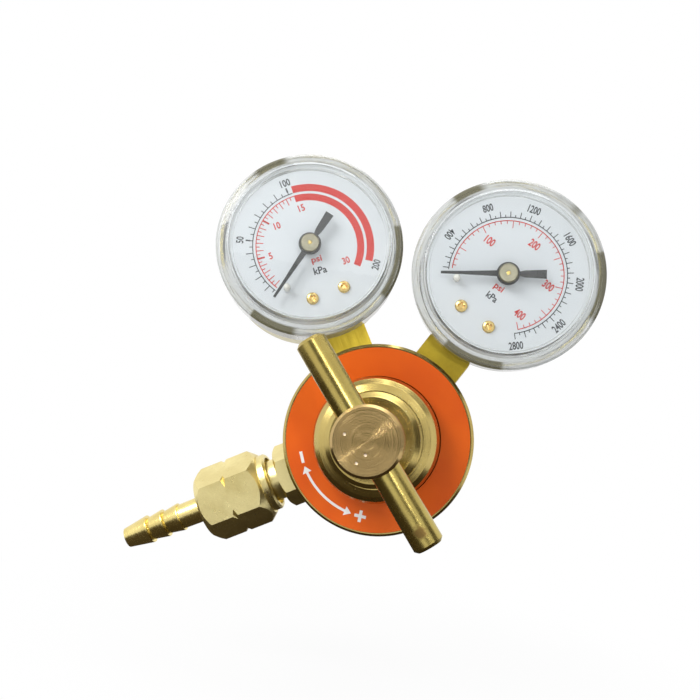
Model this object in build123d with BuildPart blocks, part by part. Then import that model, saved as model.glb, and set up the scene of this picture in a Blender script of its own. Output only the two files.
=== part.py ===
from build123d import *
from math import asin, atan2, cos, degrees, pi, radians, sin
import os

# Acetylene pressure regulator with two gauges, in millimetres.
# +X is to the right, +Y to the back, +Z up. The body's axis lies along Y, the dials face -Y,
# and the origin is on that axis at the open mouth of the inlet nut.

# clearances
SEAT_GAP = 0.25
RUN_GAP = 0.08
THREAD_GAP = 0.15
LOOSE_GAP = 0.4
FACE_GAP = 0.1
PIN_GAP = 0.05

# body, places along its axis counted backwards from the front plane of the flange
FLANGE_R = 26.4
FLANGE_THICK = 6.0
RIM_W = 1.0
DRUM_R = 24.5
BOSS_R = 12.0
BOSS_LEN = 8.5
PORT_S = 15.0
PORT_BORE_R = 6.4
PORT_BORE_IN = 15.5
PASSAGE_R = 1.3
PASSAGE_AT = PORT_BORE_IN + 0.9
MEMBRANE_R = 21.0
MEMBRANE_T = 0.8
MEMBRANE_GAP = 0.2
BONNET_SEAT = 4.2
MEMBRANE_FLOOR = BONNET_SEAT + MEMBRANE_T + MEMBRANE_GAP + FACE_GAP
CHAMBER_R = PASSAGE_AT + PASSAGE_R - 0.1
CHAMBER_DEEP = 2.3
CHAMBER_FLOOR = MEMBRANE_FLOOR + CHAMBER_DEEP
VALVE_BORE_R = 6.5
VALVE_BORE_DEEP = 7.4
VALVE_SEAT = CHAMBER_FLOOR + VALVE_BORE_DEEP
SUPPLY_R = VALVE_BORE_R - 1.1
SUPPLY_DEEP = 10.2
SUPPLY_BACK = VALVE_SEAT + SUPPLY_DEEP
INLET_HOLE_R = 2.6
BACK_WALL = 2.3
BODY_BACK = SUPPLY_BACK + BACK_WALL
BOSS_BACK = BODY_BACK + BOSS_LEN

# bonnet
RING_T = 0.4
DOME_R = 17.2
DOME_FRONT = -10.5
NECK_R = 12.2
NECK_LEN = 8.0
NECK_FRONT = DOME_FRONT - NECK_LEN
SPRING_ROOM_R = 12.6
SPRING_ROOM_S = -6.0
BUTTON_ROOM_R = 9.6
BUTTON_ROOM_S = -10.0

# adjusting screw and cross bar
SCREW_R = 5.0
HUB_R = 8.8
HUB_GAP = 4.3
HUB_LEN = 12.2
HUB_BACK = NECK_FRONT - HUB_GAP
HUB_FRONT = HUB_BACK - HUB_LEN
BAR_R = 3.9
BAR_LEN = 57.5
BAR_ANGLE = -39.0
BAR_S = (HUB_BACK + HUB_FRONT) / 2

# diaphragm stack and main spring
BUTTON_R = BUTTON_ROOM_R - LOOSE_GAP
BUTTON_T = 2.0
PLATE_R = SPRING_ROOM_R - 1.2
PLATE_T = 1.8
SPRING_WIRE_R = 0.8
SPRING_MEAN_R = BUTTON_R - SPRING_WIRE_R - 1.0
SPRING_TURNS = 3.0

# seat valve
NOZZLE_HOLE_R = 1.7
LIP_R = 2.7
LIP_T = 0.7
PIN_R = 1.1
POPPET_R = 4.0
POPPET_T = 2.6
TAIL_R = 1.6
TAIL_LEN = 2.8
VALVE_SPRING_R = 2.9
VALVE_WIRE_R = 0.35
VALVE_TURNS = 5.0

# inlet
NIPPLE_COLLAR_AF = 17.0
NIPPLE_COLLAR_T = 4.0
NIPPLE_STEM_R = 5.6
NIPPLE_HEAD_R = 8.8
NIPPLE_HEAD_T = 2.0
NIPPLE_NOSE_R = 4.6
NIPPLE_NOSE_LEN = 3.6
GAS_HOLE_R = 2.2
FILTER_R = 3.3
FILTER_LEN = 9.5
INLET_NUT_AF = 28.6
INLET_NUT_WALL = 5.2
INLET_NUT_PLAY = 1.4
INLET_THREAD_R = 10.6
INLET_THREAD_LEN = 8.0
INLET_RELIEF_R = INLET_THREAD_R + 0.7
COLLAR_START = BOSS_BACK + FACE_GAP
COLLAR_END = COLLAR_START + NIPPLE_COLLAR_T
NUT_FRONT = COLLAR_END + INLET_NUT_PLAY
INLET_SHOULDER = NUT_FRONT + INLET_NUT_WALL
NIPPLE_HEAD_S = INLET_SHOULDER + 0.5
NIPPLE_END = NIPPLE_HEAD_S + NIPPLE_HEAD_T + NIPPLE_NOSE_LEN
INLET_THREAD_S = NIPPLE_END + 1.2
INLET_MOUTH = INLET_THREAD_S + INLET_THREAD_LEN
FRONT_Y = -INLET_MOUTH

# outlet, counted outwards from the body's axis
OUT_ANGLE = -120.0
PLUG_R = PORT_BORE_R - THREAD_GAP
BUSH_AF = 16.0
BUSH_LEN = 6.25
BUSH_START = DRUM_R + SEAT_GAP
BUSH_END = BUSH_START + BUSH_LEN
OUT_NECK_R = 6.0
OUT_NECK_LEN = 4.0
SPIGOT_R = 7.05
SPIGOT_LEN = 8.0
SPIGOT_START = BUSH_END + OUT_NECK_LEN
SPIGOT_END = SPIGOT_START + SPIGOT_LEN
HOSE_NUT_AF = 19.0
HOSE_NUT_LEN = 19.3
HOSE_NUT_BOSS_LEN = 2.4
HOSE_NUT_BOSS = BUSH_END + 2.8
HOSE_NUT_BOSS_R = SPIGOT_R + 1.35
HOSE_NUT_START = HOSE_NUT_BOSS + HOSE_NUT_BOSS_LEN
HOSE_NUT_END = HOSE_NUT_START + HOSE_NUT_LEN
HOSE_NUT_FLOOR_T = 4.9
HOSE_NUT_WALL = HOSE_NUT_END - HOSE_NUT_FLOOR_T
NOTCH_DEPTH = 0.9
BARB_COLLAR_R = SPIGOT_R - 0.35
BARB_SHANK_R = 3.85
BARB_CREST_R = 4.1
BARB_LAND = 0.3
BARB_ROOT_R = 3.3
BARB_NECK_LEN = 8.0
BARB_FIRST = HOSE_NUT_END + BARB_NECK_LEN
BARB_STEP = 5.0
BARB_COUNT = 3
BARB_TIP_LEN = 7.5
BARB_TIP_R = 2.9
BARB_BORE_R = 2.0

# gauges, heights counted towards the viewer from the stem's axis
GAUGE_ANGLE = 30.0
GAUGE_TWIST = {"left": 9.2, "right": 0.0}
STEM_SQ = 14.0
STEM_LEN = 7.4
STEM_LOW = DRUM_R + 0.6
STEM_TOP = STEM_LOW + STEM_LEN
CASE_GAP = 0.3
CASE_R = 25.2
CASE_WALL = 0.8
CASE_BACK = -10.0
CASE_NECK_R = 5.0
GAUGE_R_AT = STEM_TOP + CASE_GAP + CASE_R
DIAL_R = CASE_R - CASE_WALL - 0.6
DIAL_T = 0.5
DIAL_FACE = 12.5
DIAL_SCREW_X = 4.75
DIAL_SCREW_Z = -14.6
DIAL_SCREW_HEAD_R = 1.75
DIAL_SCREW_HEAD_T = 0.95
DIAL_SCREW_R = 1.0
POST_R = 1.9
NEEDLE_FACE = DIAL_FACE + 2.8
NEEDLE_T = 0.4
NEEDLE_TIP = DIAL_R - 5.4
NEEDLE_TAIL = 10.4
NEEDLE_HALF_W = 1.3
NEEDLE_TIP_HALF_W = 0.4
NEEDLE_TAIL_HALF_W = 1.15
NEEDLE_REST = -126.3
POINTER_HUB_R = 2.7
POINTER_HUB_TOP = NEEDLE_FACE + 1.1
STOP_R_AT = NEEDLE_TIP - 4.4
STOP_PIN_R = 0.9
CASE_FRONT = DIAL_FACE + 1.5
LENS_FIT = 0.3
LENS_WALL = 1.0
LENS_T = 1.6
LENS_R = CASE_R + LENS_FIT + LENS_WALL
LENS_SKIRT = 6.7
LENS_BACK = CASE_FRONT - LENS_SKIRT
LENS_SHOULDER = CASE_FRONT + 1.4
LENS_STEP_R = CASE_R - 1.8
LENS_FRONT = POINTER_HUB_TOP + 0.8 + LENS_T
BLOCK_W = 12.0
BLOCK_DEEP = 8.0
BLOCK_TOP = -12.0
TUBE_R = 16.5
TUBE_T = 2.0
TUBE_W = 6.0
TUBE_GAP = 0.8
TUBE_TIP_DEG = 8.0
FRAME_TOP = 5.5
FRAME_EAR_LOW = -6.6
FRAME_EAR_TOP = -1.4
FRAME_EAR_X = TUBE_R - TUBE_T - 1.9
PLATE_FRONT = 4.0
PLATE_REAR = -3.5
PLATE_THICK = 1.0
PINION_TEETH = 8
SECTOR_FULL_TEETH = 64
SECTOR_AIM_DEG = 161.0
SECTOR_TURN = 35.0
SECTOR_T = 1.2
TOOTH_FACTOR = 0.42
TAIL_ARM = 2.8
TAIL_TURN = 33.0
EYE_R = 1.1
ARBOR_R = 0.7
LINK_T = 0.7
LINK_RISE = 2.3
CENTRE_GAP = TUBE_R - TUBE_T / 2 - TUBE_GAP - EYE_R - TAIL_ARM
GEAR_MODULE = 2 * CENTRE_GAP / (PINION_TEETH + SECTOR_FULL_TEETH)

os.makedirs("parts", exist_ok=True)


def save(part, name):
    """Label one finished piece and write it to its own file."""
    part.label = name
    export_step(part, f"parts/{name}.step")


def at(s):
    """Y of a place counted backwards from the flange's front plane."""
    return FRONT_Y + s


def turn_on_body(points, mode=Mode.ADD):
    """Revolve (radius, s) points about the body's axis."""
    with BuildSketch(Plane.XY) as profile:
        with BuildLine():
            Polyline(*[(r, at(s)) for r, s in points], close=True)
        make_face()
    revolve(profile.sketch, axis=Axis.Y, mode=mode)


def radial_plane(angle, out=0.0, twist=0.0):
    """Plane on a port's axis, z outwards, x across and y to the back."""
    port = Location((0, at(PORT_S), 0), (0, angle, 0)) * Location((0, 0, out), (0, 0, twist))
    return Plane(port)


def turn_on_port(angle, points, mode=Mode.ADD):
    """Revolve (radius, distance from the body's axis) points about a port's axis."""
    base = radial_plane(angle)
    with BuildSketch(Plane(base.origin, x_dir=base.x_dir, z_dir=-base.y_dir)) as profile:
        with BuildLine():
            Polyline(*points, close=True)
        make_face()
    revolve(profile.sketch, axis=Axis(base.origin, base.z_dir), mode=mode)


def across_corners(flats):
    """Width over the corners of a hexagon of the given width over its flats."""
    return flats / cos(pi / 6)


# body
rim_in = FLANGE_R - RIM_W
with BuildPart() as regulator_body:
    turn_on_body([
        (0, 0), (FLANGE_R - 0.7, 0), (FLANGE_R, 0.8), (FLANGE_R, FLANGE_THICK - 0.8),
        (FLANGE_R - 0.8, FLANGE_THICK), (DRUM_R, FLANGE_THICK), (DRUM_R, BODY_BACK - 3.5),
        (DRUM_R - 3.5, BODY_BACK), (BOSS_R, BODY_BACK), (BOSS_R, BOSS_BACK - 0.8),
        (BOSS_R - 0.8, BOSS_BACK), (0, BOSS_BACK),
    ])
    turn_on_body([(0, 0), (rim_in, 0), (rim_in, BONNET_SEAT), (0, BONNET_SEAT)], Mode.SUBTRACT)
    turn_on_body([
        (0, BONNET_SEAT - 1), (MEMBRANE_R + 0.3, BONNET_SEAT - 1), (MEMBRANE_R + 0.3, MEMBRANE_FLOOR),
        (CHAMBER_R, MEMBRANE_FLOOR), (CHAMBER_R, CHAMBER_FLOOR), (VALVE_BORE_R, CHAMBER_FLOOR),
        (VALVE_BORE_R, VALVE_SEAT), (SUPPLY_R, VALVE_SEAT), (SUPPLY_R, SUPPLY_BACK),
        (INLET_HOLE_R, SUPPLY_BACK), (INLET_HOLE_R, BODY_BACK), (PORT_BORE_R + 0.2, BODY_BACK),
        (PORT_BORE_R + 0.2, BOSS_BACK + 1), (0, BOSS_BACK + 1),
    ], Mode.SUBTRACT)
    for port_angle in (-GAUGE_ANGLE, GAUGE_ANGLE, OUT_ANGLE):
        with BuildSketch(radial_plane(port_angle, PORT_BORE_IN)):
            Circle(PORT_BORE_R)
        extrude(amount=DRUM_R, mode=Mode.SUBTRACT)
    for low_angle in (-GAUGE_ANGLE, OUT_ANGLE):
        turned = radians(low_angle)
        spot = (PASSAGE_AT * sin(turned), at(MEMBRANE_FLOOR + 1), PASSAGE_AT * cos(turned))
        with BuildSketch(Plane(spot, z_dir=(0, 1, 0))):
            Circle(PASSAGE_R)
        extrude(amount=PORT_S - MEMBRANE_FLOOR - 1, mode=Mode.SUBTRACT)
    supply_port = Plane(Location((0, at(PORT_S + 3), 0), (0, GAUGE_ANGLE, 0)))
    with BuildSketch(supply_port.offset(SUPPLY_R - 1)):
        Circle(PASSAGE_R)
    extrude(amount=PORT_BORE_IN - SUPPLY_R + 2, mode=Mode.SUBTRACT)
save(regulator_body.part, "regulator_body")

# bonnet and ring
flange_out = rim_in - THREAD_GAP
with BuildPart() as bonnet:
    turn_on_body([
        (0, BONNET_SEAT - FACE_GAP), (flange_out, BONNET_SEAT - FACE_GAP), (flange_out, RING_T),
        (DOME_R + 0.25, RING_T), (DOME_R, RING_T - 0.25), (DOME_R - 0.2, DOME_FRONT + 4.9),
        (DOME_R - 0.9, DOME_FRONT + 2.4), (DOME_R - 2.3, DOME_FRONT + 0.7), (DOME_R - 4.2, DOME_FRONT),
        (NECK_R + 0.5, DOME_FRONT), (NECK_R, DOME_FRONT - 0.5), (NECK_R, NECK_FRONT + 1.0),
        (NECK_R - 1.2, NECK_FRONT), (0, NECK_FRONT),
    ])
    turn_on_body([
        (0, BONNET_SEAT + 1), (SPRING_ROOM_R, BONNET_SEAT + 1), (SPRING_ROOM_R, SPRING_ROOM_S),
        (BUTTON_ROOM_R, SPRING_ROOM_S), (BUTTON_ROOM_R, BUTTON_ROOM_S), (SCREW_R + RUN_GAP, BUTTON_ROOM_S),
        (SCREW_R + RUN_GAP, NECK_FRONT - 1), (0, NECK_FRONT - 1),
    ], Mode.SUBTRACT)
save(bonnet.part, "bonnet")

with BuildPart() as label_ring:
    with BuildSketch(Plane.XZ.offset(-at(RING_T))):
        Circle(rim_in - PIN_GAP)
        Circle(DOME_R + 0.3, mode=Mode.SUBTRACT)
    extrude(amount=RING_T)
save(label_ring.part, "label_ring")

# adjusting screw
bar_tilt = radians(BAR_ANGLE)
bar_line = (sin(bar_tilt), 0, cos(bar_tilt))
bar_middle = (0, at(BAR_S), 0)
screw_tip = BUTTON_ROOM_S + 0.4
with BuildPart() as adjusting_screw:
    turn_on_body([
        (0, HUB_FRONT), (HUB_R - 0.7, HUB_FRONT), (HUB_R, HUB_FRONT + 0.7), (HUB_R, HUB_BACK - 0.8),
        (HUB_R - 0.8, HUB_BACK), (SCREW_R, HUB_BACK), (SCREW_R, screw_tip - 1), (SCREW_R - 1, screw_tip),
        (0, screw_tip),
    ])
    with BuildSketch(Plane(bar_middle, z_dir=bar_line)):
        Circle(BAR_R + PIN_GAP)
    extrude(amount=HUB_R + 1, both=True, mode=Mode.SUBTRACT)
save(adjusting_screw.part, "adjusting_screw")

with BuildPart() as t_bar:
    with BuildSketch(Plane(bar_middle, z_dir=bar_line)):
        Circle(BAR_R)
    extrude(amount=BAR_LEN / 2, both=True)
    chamfer(t_bar.edges().filter_by(GeomType.CIRCLE), length=0.8)
save(t_bar.part, "t_bar")

# spring, plate and diaphragm
button_front = screw_tip + 0.15
button_back = button_front + BUTTON_T
with BuildPart() as spring_button:
    turn_on_body([
        (0, button_front), (BUTTON_R - 0.6, button_front), (BUTTON_R, button_front + 0.6),
        (BUTTON_R, button_back), (SPRING_MEAN_R - SPRING_WIRE_R - 0.5, button_back),
        (SPRING_MEAN_R - SPRING_WIRE_R - 1.1, button_back + 1.4), (0, button_back + 1.4),
    ])
save(spring_button.part, "spring_button")

membrane_front = BONNET_SEAT + FACE_GAP
plate_back = membrane_front - FACE_GAP
plate_front = plate_back - PLATE_T
with BuildPart() as diaphragm_plate:
    turn_on_body([
        (0, plate_back), (PLATE_R, plate_back), (PLATE_R, plate_front + 0.6),
        (PLATE_R - 0.6, plate_front), (SPRING_MEAN_R - SPRING_WIRE_R - 0.4, plate_front),
        (SPRING_MEAN_R - SPRING_WIRE_R - 1.0, plate_front - 1.2), (0, plate_front - 1.2),
    ])
save(diaphragm_plate.part, "diaphragm_plate")

with BuildPart() as diaphragm:
    turn_on_body([
        (0, membrane_front), (MEMBRANE_R, membrane_front), (MEMBRANE_R, membrane_front + MEMBRANE_T),
        (0, membrane_front + MEMBRANE_T),
    ])
save(diaphragm.part, "diaphragm")

spring_first = button_back + 0.15 + SPRING_WIRE_R
spring_last = plate_front - 0.15 - SPRING_WIRE_R
spring_span = spring_last - spring_first
with BuildPart() as main_spring:
    with BuildLine() as spring_wire:
        Helix(spring_span / SPRING_TURNS, spring_span, SPRING_MEAN_R,
              center=(0, at(spring_first), 0), direction=(0, 1, 0))
    with BuildSketch(Plane(spring_wire.line @ 0, z_dir=spring_wire.line % 0)):
        RegularPolygon(SPRING_WIRE_R, 6)
    sweep(path=spring_wire.line, is_frenet=True)
save(main_spring.part, "main_spring")

# seat valve
with BuildPart() as seat_nozzle:
    turn_on_body([
        (NOZZLE_HOLE_R, CHAMBER_FLOOR + 0.6), (VALVE_BORE_R - THREAD_GAP, CHAMBER_FLOOR + 0.6),
        (VALVE_BORE_R - THREAD_GAP, VALVE_SEAT - FACE_GAP), (LIP_R + 0.6, VALVE_SEAT - FACE_GAP),
        (LIP_R, VALVE_SEAT + LIP_T), (NOZZLE_HOLE_R, VALVE_SEAT + LIP_T),
    ])
save(seat_nozzle.part, "seat_nozzle")

poppet_front = VALVE_SEAT + LIP_T + FACE_GAP
poppet_back = poppet_front + POPPET_T
tail_end = poppet_back + TAIL_LEN
pin_front = membrane_front + MEMBRANE_T + 0.2
with BuildPart() as poppet_valve:
    turn_on_body([
        (0, pin_front), (PIN_R, pin_front), (PIN_R, poppet_front), (POPPET_R, poppet_front),
        (POPPET_R, poppet_back), (TAIL_R, poppet_back), (TAIL_R, tail_end), (0, tail_end),
    ])
save(poppet_valve.part, "poppet_valve")

valve_first = poppet_back + FACE_GAP + VALVE_WIRE_R
valve_span = SUPPLY_BACK - FACE_GAP - VALVE_WIRE_R - valve_first
with BuildPart() as poppet_spring:
    with BuildLine() as valve_wire:
        Helix(valve_span / VALVE_TURNS, valve_span, VALVE_SPRING_R,
              center=(0, at(valve_first), 0), direction=(0, 1, 0))
    with BuildSketch(Plane(valve_wire.line @ 0, z_dir=valve_wire.line % 0)):
        RegularPolygon(VALVE_WIRE_R, 4)
    sweep(path=valve_wire.line, is_frenet=True)
save(poppet_spring.part, "poppet_spring")

# inlet
filter_seat = NIPPLE_END - FILTER_LEN - 0.5
with BuildPart() as inlet_nipple:
    turn_on_body([
        (0, BODY_BACK + 0.2), (PORT_BORE_R, BODY_BACK + 0.2), (PORT_BORE_R, COLLAR_END),
        (NIPPLE_STEM_R, COLLAR_END), (NIPPLE_STEM_R, NIPPLE_HEAD_S), (NIPPLE_HEAD_R, NIPPLE_HEAD_S),
        (NIPPLE_HEAD_R, NIPPLE_HEAD_S + NIPPLE_HEAD_T), (NIPPLE_NOSE_R, NIPPLE_END), (0, NIPPLE_END),
    ])
    with BuildSketch(Plane.XZ.offset(-at(COLLAR_START))):
        RegularPolygon(NIPPLE_COLLAR_AF / 2, 6, major_radius=False)
    extrude(amount=-(COLLAR_END - COLLAR_START))
    turn_on_body([
        (0, BODY_BACK - 1), (GAS_HOLE_R, BODY_BACK - 1), (GAS_HOLE_R, filter_seat),
        (FILTER_R + 0.1, filter_seat), (FILTER_R + 0.1, NIPPLE_END + 1), (0, NIPPLE_END + 1),
    ], Mode.SUBTRACT)
save(inlet_nipple.part, "inlet_nipple")

with BuildPart() as inlet_filter:
    turn_on_body([
        (0, filter_seat + 0.1), (FILTER_R, filter_seat + 0.1), (FILTER_R, NIPPLE_END - 0.6),
        (FILTER_R - 0.4, NIPPLE_END - 0.2), (0, NIPPLE_END - 0.2),
    ])
save(inlet_filter.part, "inlet_filter")

nut_corner = across_corners(INLET_NUT_AF) / 2
stem_hole_r = NIPPLE_STEM_R + LOOSE_GAP
with BuildPart() as inlet_nut:
    with BuildSketch(Plane.XZ.offset(-at(NUT_FRONT))):
        RegularPolygon(INLET_NUT_AF / 2, 6, major_radius=False)
    extrude(amount=-(INLET_MOUTH - NUT_FRONT))
    turn_on_body([
        (0, NUT_FRONT), (nut_corner - 2.6, NUT_FRONT), (nut_corner + 0.1, NUT_FRONT + 1.5),
        (nut_corner + 0.1, INLET_MOUTH - 1.5), (nut_corner - 2.6, INLET_MOUTH), (0, INLET_MOUTH),
    ], Mode.INTERSECT)
    turn_on_body([
        (0, NUT_FRONT - 1), (stem_hole_r, NUT_FRONT - 1), (stem_hole_r, INLET_SHOULDER),
        (INLET_RELIEF_R, INLET_SHOULDER), (INLET_RELIEF_R, INLET_THREAD_S - 0.7),
        (INLET_THREAD_R, INLET_THREAD_S), (INLET_THREAD_R, INLET_MOUTH + 1), (0, INLET_MOUTH + 1),
    ], Mode.SUBTRACT)
save(inlet_nut.part, "inlet_nut")

# outlet
with BuildPart() as outlet_adaptor:
    turn_on_port(OUT_ANGLE, [
        (0, PORT_BORE_IN + 0.2), (PLUG_R, PORT_BORE_IN + 0.2), (PLUG_R, BUSH_START),
        (OUT_NECK_R, BUSH_START), (OUT_NECK_R, SPIGOT_START), (SPIGOT_R, SPIGOT_START + 0.5),
        (SPIGOT_R, SPIGOT_END - 0.6), (SPIGOT_R - 0.6, SPIGOT_END), (0, SPIGOT_END),
    ])
    with BuildSketch(radial_plane(OUT_ANGLE, BUSH_START)):
        RegularPolygon(BUSH_AF / 2, 6, major_radius=False)
    extrude(amount=BUSH_LEN)
    bush_corner = across_corners(BUSH_AF) / 2
    turn_on_port(OUT_ANGLE, [
        (0, 0), (bush_corner + 0.1, 0), (bush_corner + 0.1, BUSH_END - 0.9), (bush_corner - 1.2, BUSH_END),
        (SPIGOT_R + 0.2, BUSH_END), (SPIGOT_R + 0.2, SPIGOT_END + 1), (0, SPIGOT_END + 1),
    ], Mode.INTERSECT)
    turn_on_port(OUT_ANGLE, [
        (0, 0), (GAS_HOLE_R, 0), (GAS_HOLE_R, SPIGOT_END - 2.5),
        (SPIGOT_R - 2.2, SPIGOT_END + 0.1), (0, SPIGOT_END + 0.1),
    ], Mode.SUBTRACT)
save(outlet_adaptor.part, "outlet_adaptor")

hose_corner = across_corners(HOSE_NUT_AF) / 2
hose_mid = (HOSE_NUT_START + HOSE_NUT_END) / 2
shank_hole_r = BARB_SHANK_R + LOOSE_GAP
with BuildPart() as outlet_nut:
    with BuildSketch(radial_plane(OUT_ANGLE, HOSE_NUT_BOSS)):
        RegularPolygon(HOSE_NUT_AF / 2, 6, major_radius=False)
    extrude(amount=HOSE_NUT_END - HOSE_NUT_BOSS)
    turn_on_port(OUT_ANGLE, [
        (0, HOSE_NUT_BOSS), (HOSE_NUT_BOSS_R - 0.5, HOSE_NUT_BOSS), (HOSE_NUT_BOSS_R, HOSE_NUT_BOSS + 0.5),
        (HOSE_NUT_BOSS_R, HOSE_NUT_START), (hose_corner - 2.0, HOSE_NUT_START),
        (hose_corner + 0.1, HOSE_NUT_START + 2.4), (hose_corner + 0.1, hose_mid - NOTCH_DEPTH),
        (hose_corner - NOTCH_DEPTH, hose_mid),
        (hose_corner + 0.1, hose_mid + NOTCH_DEPTH), (hose_corner + 0.1, HOSE_NUT_END - 2.4),
        (hose_corner - 2.0, HOSE_NUT_END), (0, HOSE_NUT_END),
    ], Mode.INTERSECT)
    turn_on_port(OUT_ANGLE, [
        (0, HOSE_NUT_BOSS - 1), (SPIGOT_R + RUN_GAP, HOSE_NUT_BOSS - 1),
        (SPIGOT_R + RUN_GAP, HOSE_NUT_WALL), (shank_hole_r, HOSE_NUT_WALL),
        (shank_hole_r, HOSE_NUT_END + 1), (0, HOSE_NUT_END + 1),
    ], Mode.SUBTRACT)
save(outlet_nut.part, "outlet_nut")

barb_profile = [
    (BARB_BORE_R, SPIGOT_END + SEAT_GAP), (SPIGOT_R - 2.4, SPIGOT_END + SEAT_GAP),
    (BARB_COLLAR_R, SPIGOT_END + 2.6), (BARB_COLLAR_R, HOSE_NUT_WALL - SEAT_GAP),
    (BARB_SHANK_R, HOSE_NUT_WALL - SEAT_GAP), (BARB_SHANK_R - 0.25, BARB_FIRST),
]
barb_end = BARB_FIRST + (BARB_COUNT - 1) * BARB_STEP + BARB_TIP_LEN
for barb in range(BARB_COUNT):
    crest_at = BARB_FIRST + barb * BARB_STEP
    slope_end = (BARB_ROOT_R, crest_at + BARB_STEP)
    if barb == BARB_COUNT - 1:
        slope_end = (BARB_TIP_R, barb_end)
    barb_profile += [(BARB_CREST_R, crest_at), (BARB_CREST_R, crest_at + BARB_LAND), slope_end]
barb_profile.append((BARB_BORE_R, barb_end))
with BuildPart() as hose_barb:
    turn_on_port(OUT_ANGLE, barb_profile)
save(hose_barb.part, "hose_barb")


# gauges
def gauge_face(angle, twist, height=0.0):
    """Plane of the dial: origin on the gauge's centre, x across, y outwards, z to the viewer."""
    base = radial_plane(angle, GAUGE_R_AT, twist)
    return Plane(base.origin, x_dir=base.x_dir, z_dir=-base.y_dir).offset(height)


def disc(face, radius, low, high, mode=Mode.ADD, spot=(0, 0)):
    """Round plate between two heights above the stem's axis."""
    with BuildSketch(face.offset(low)) as outline:
        with Locations(spot):
            Circle(radius)
    extrude(outline.sketch, amount=high - low, mode=mode)


def turn_on_gauge(face, points, mode=Mode.ADD):
    """Revolve (radius, height) points about the needle's axis."""
    with BuildSketch(Plane(face.origin, x_dir=face.x_dir, z_dir=-face.y_dir)) as profile:
        with BuildLine():
            Polyline(*points, close=True)
        make_face()
    revolve(profile.sketch, axis=Axis(face.origin, face.z_dir), mode=mode)


def gear_outline(teeth, first, last, root, tip, phase):
    """Points of straight-sided teeth on a gear, from tooth number first to last."""
    pitch_r = GEAR_MODULE * teeth / 2
    step = 2 * pi / teeth
    half = TOOTH_FACTOR * step / 2
    root_half = half * pitch_r / root + 0.1 * step
    tip_half = max(half * pitch_r / tip - 0.13 * step, 0.05 * step)
    points = []
    for tooth in range(first, last + 1):
        middle = phase + tooth * step
        for radius, shift in ((root, -root_half), (tip, -tip_half), (tip, tip_half), (root, root_half)):
            points.append((radius * cos(middle + shift), radius * sin(middle + shift)))
    return points


def clock_point(radius, clock):
    """Dial point at an angle counted clockwise from twelve o'clock."""
    return (radius * sin(radians(clock)), radius * cos(radians(clock)))


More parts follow.
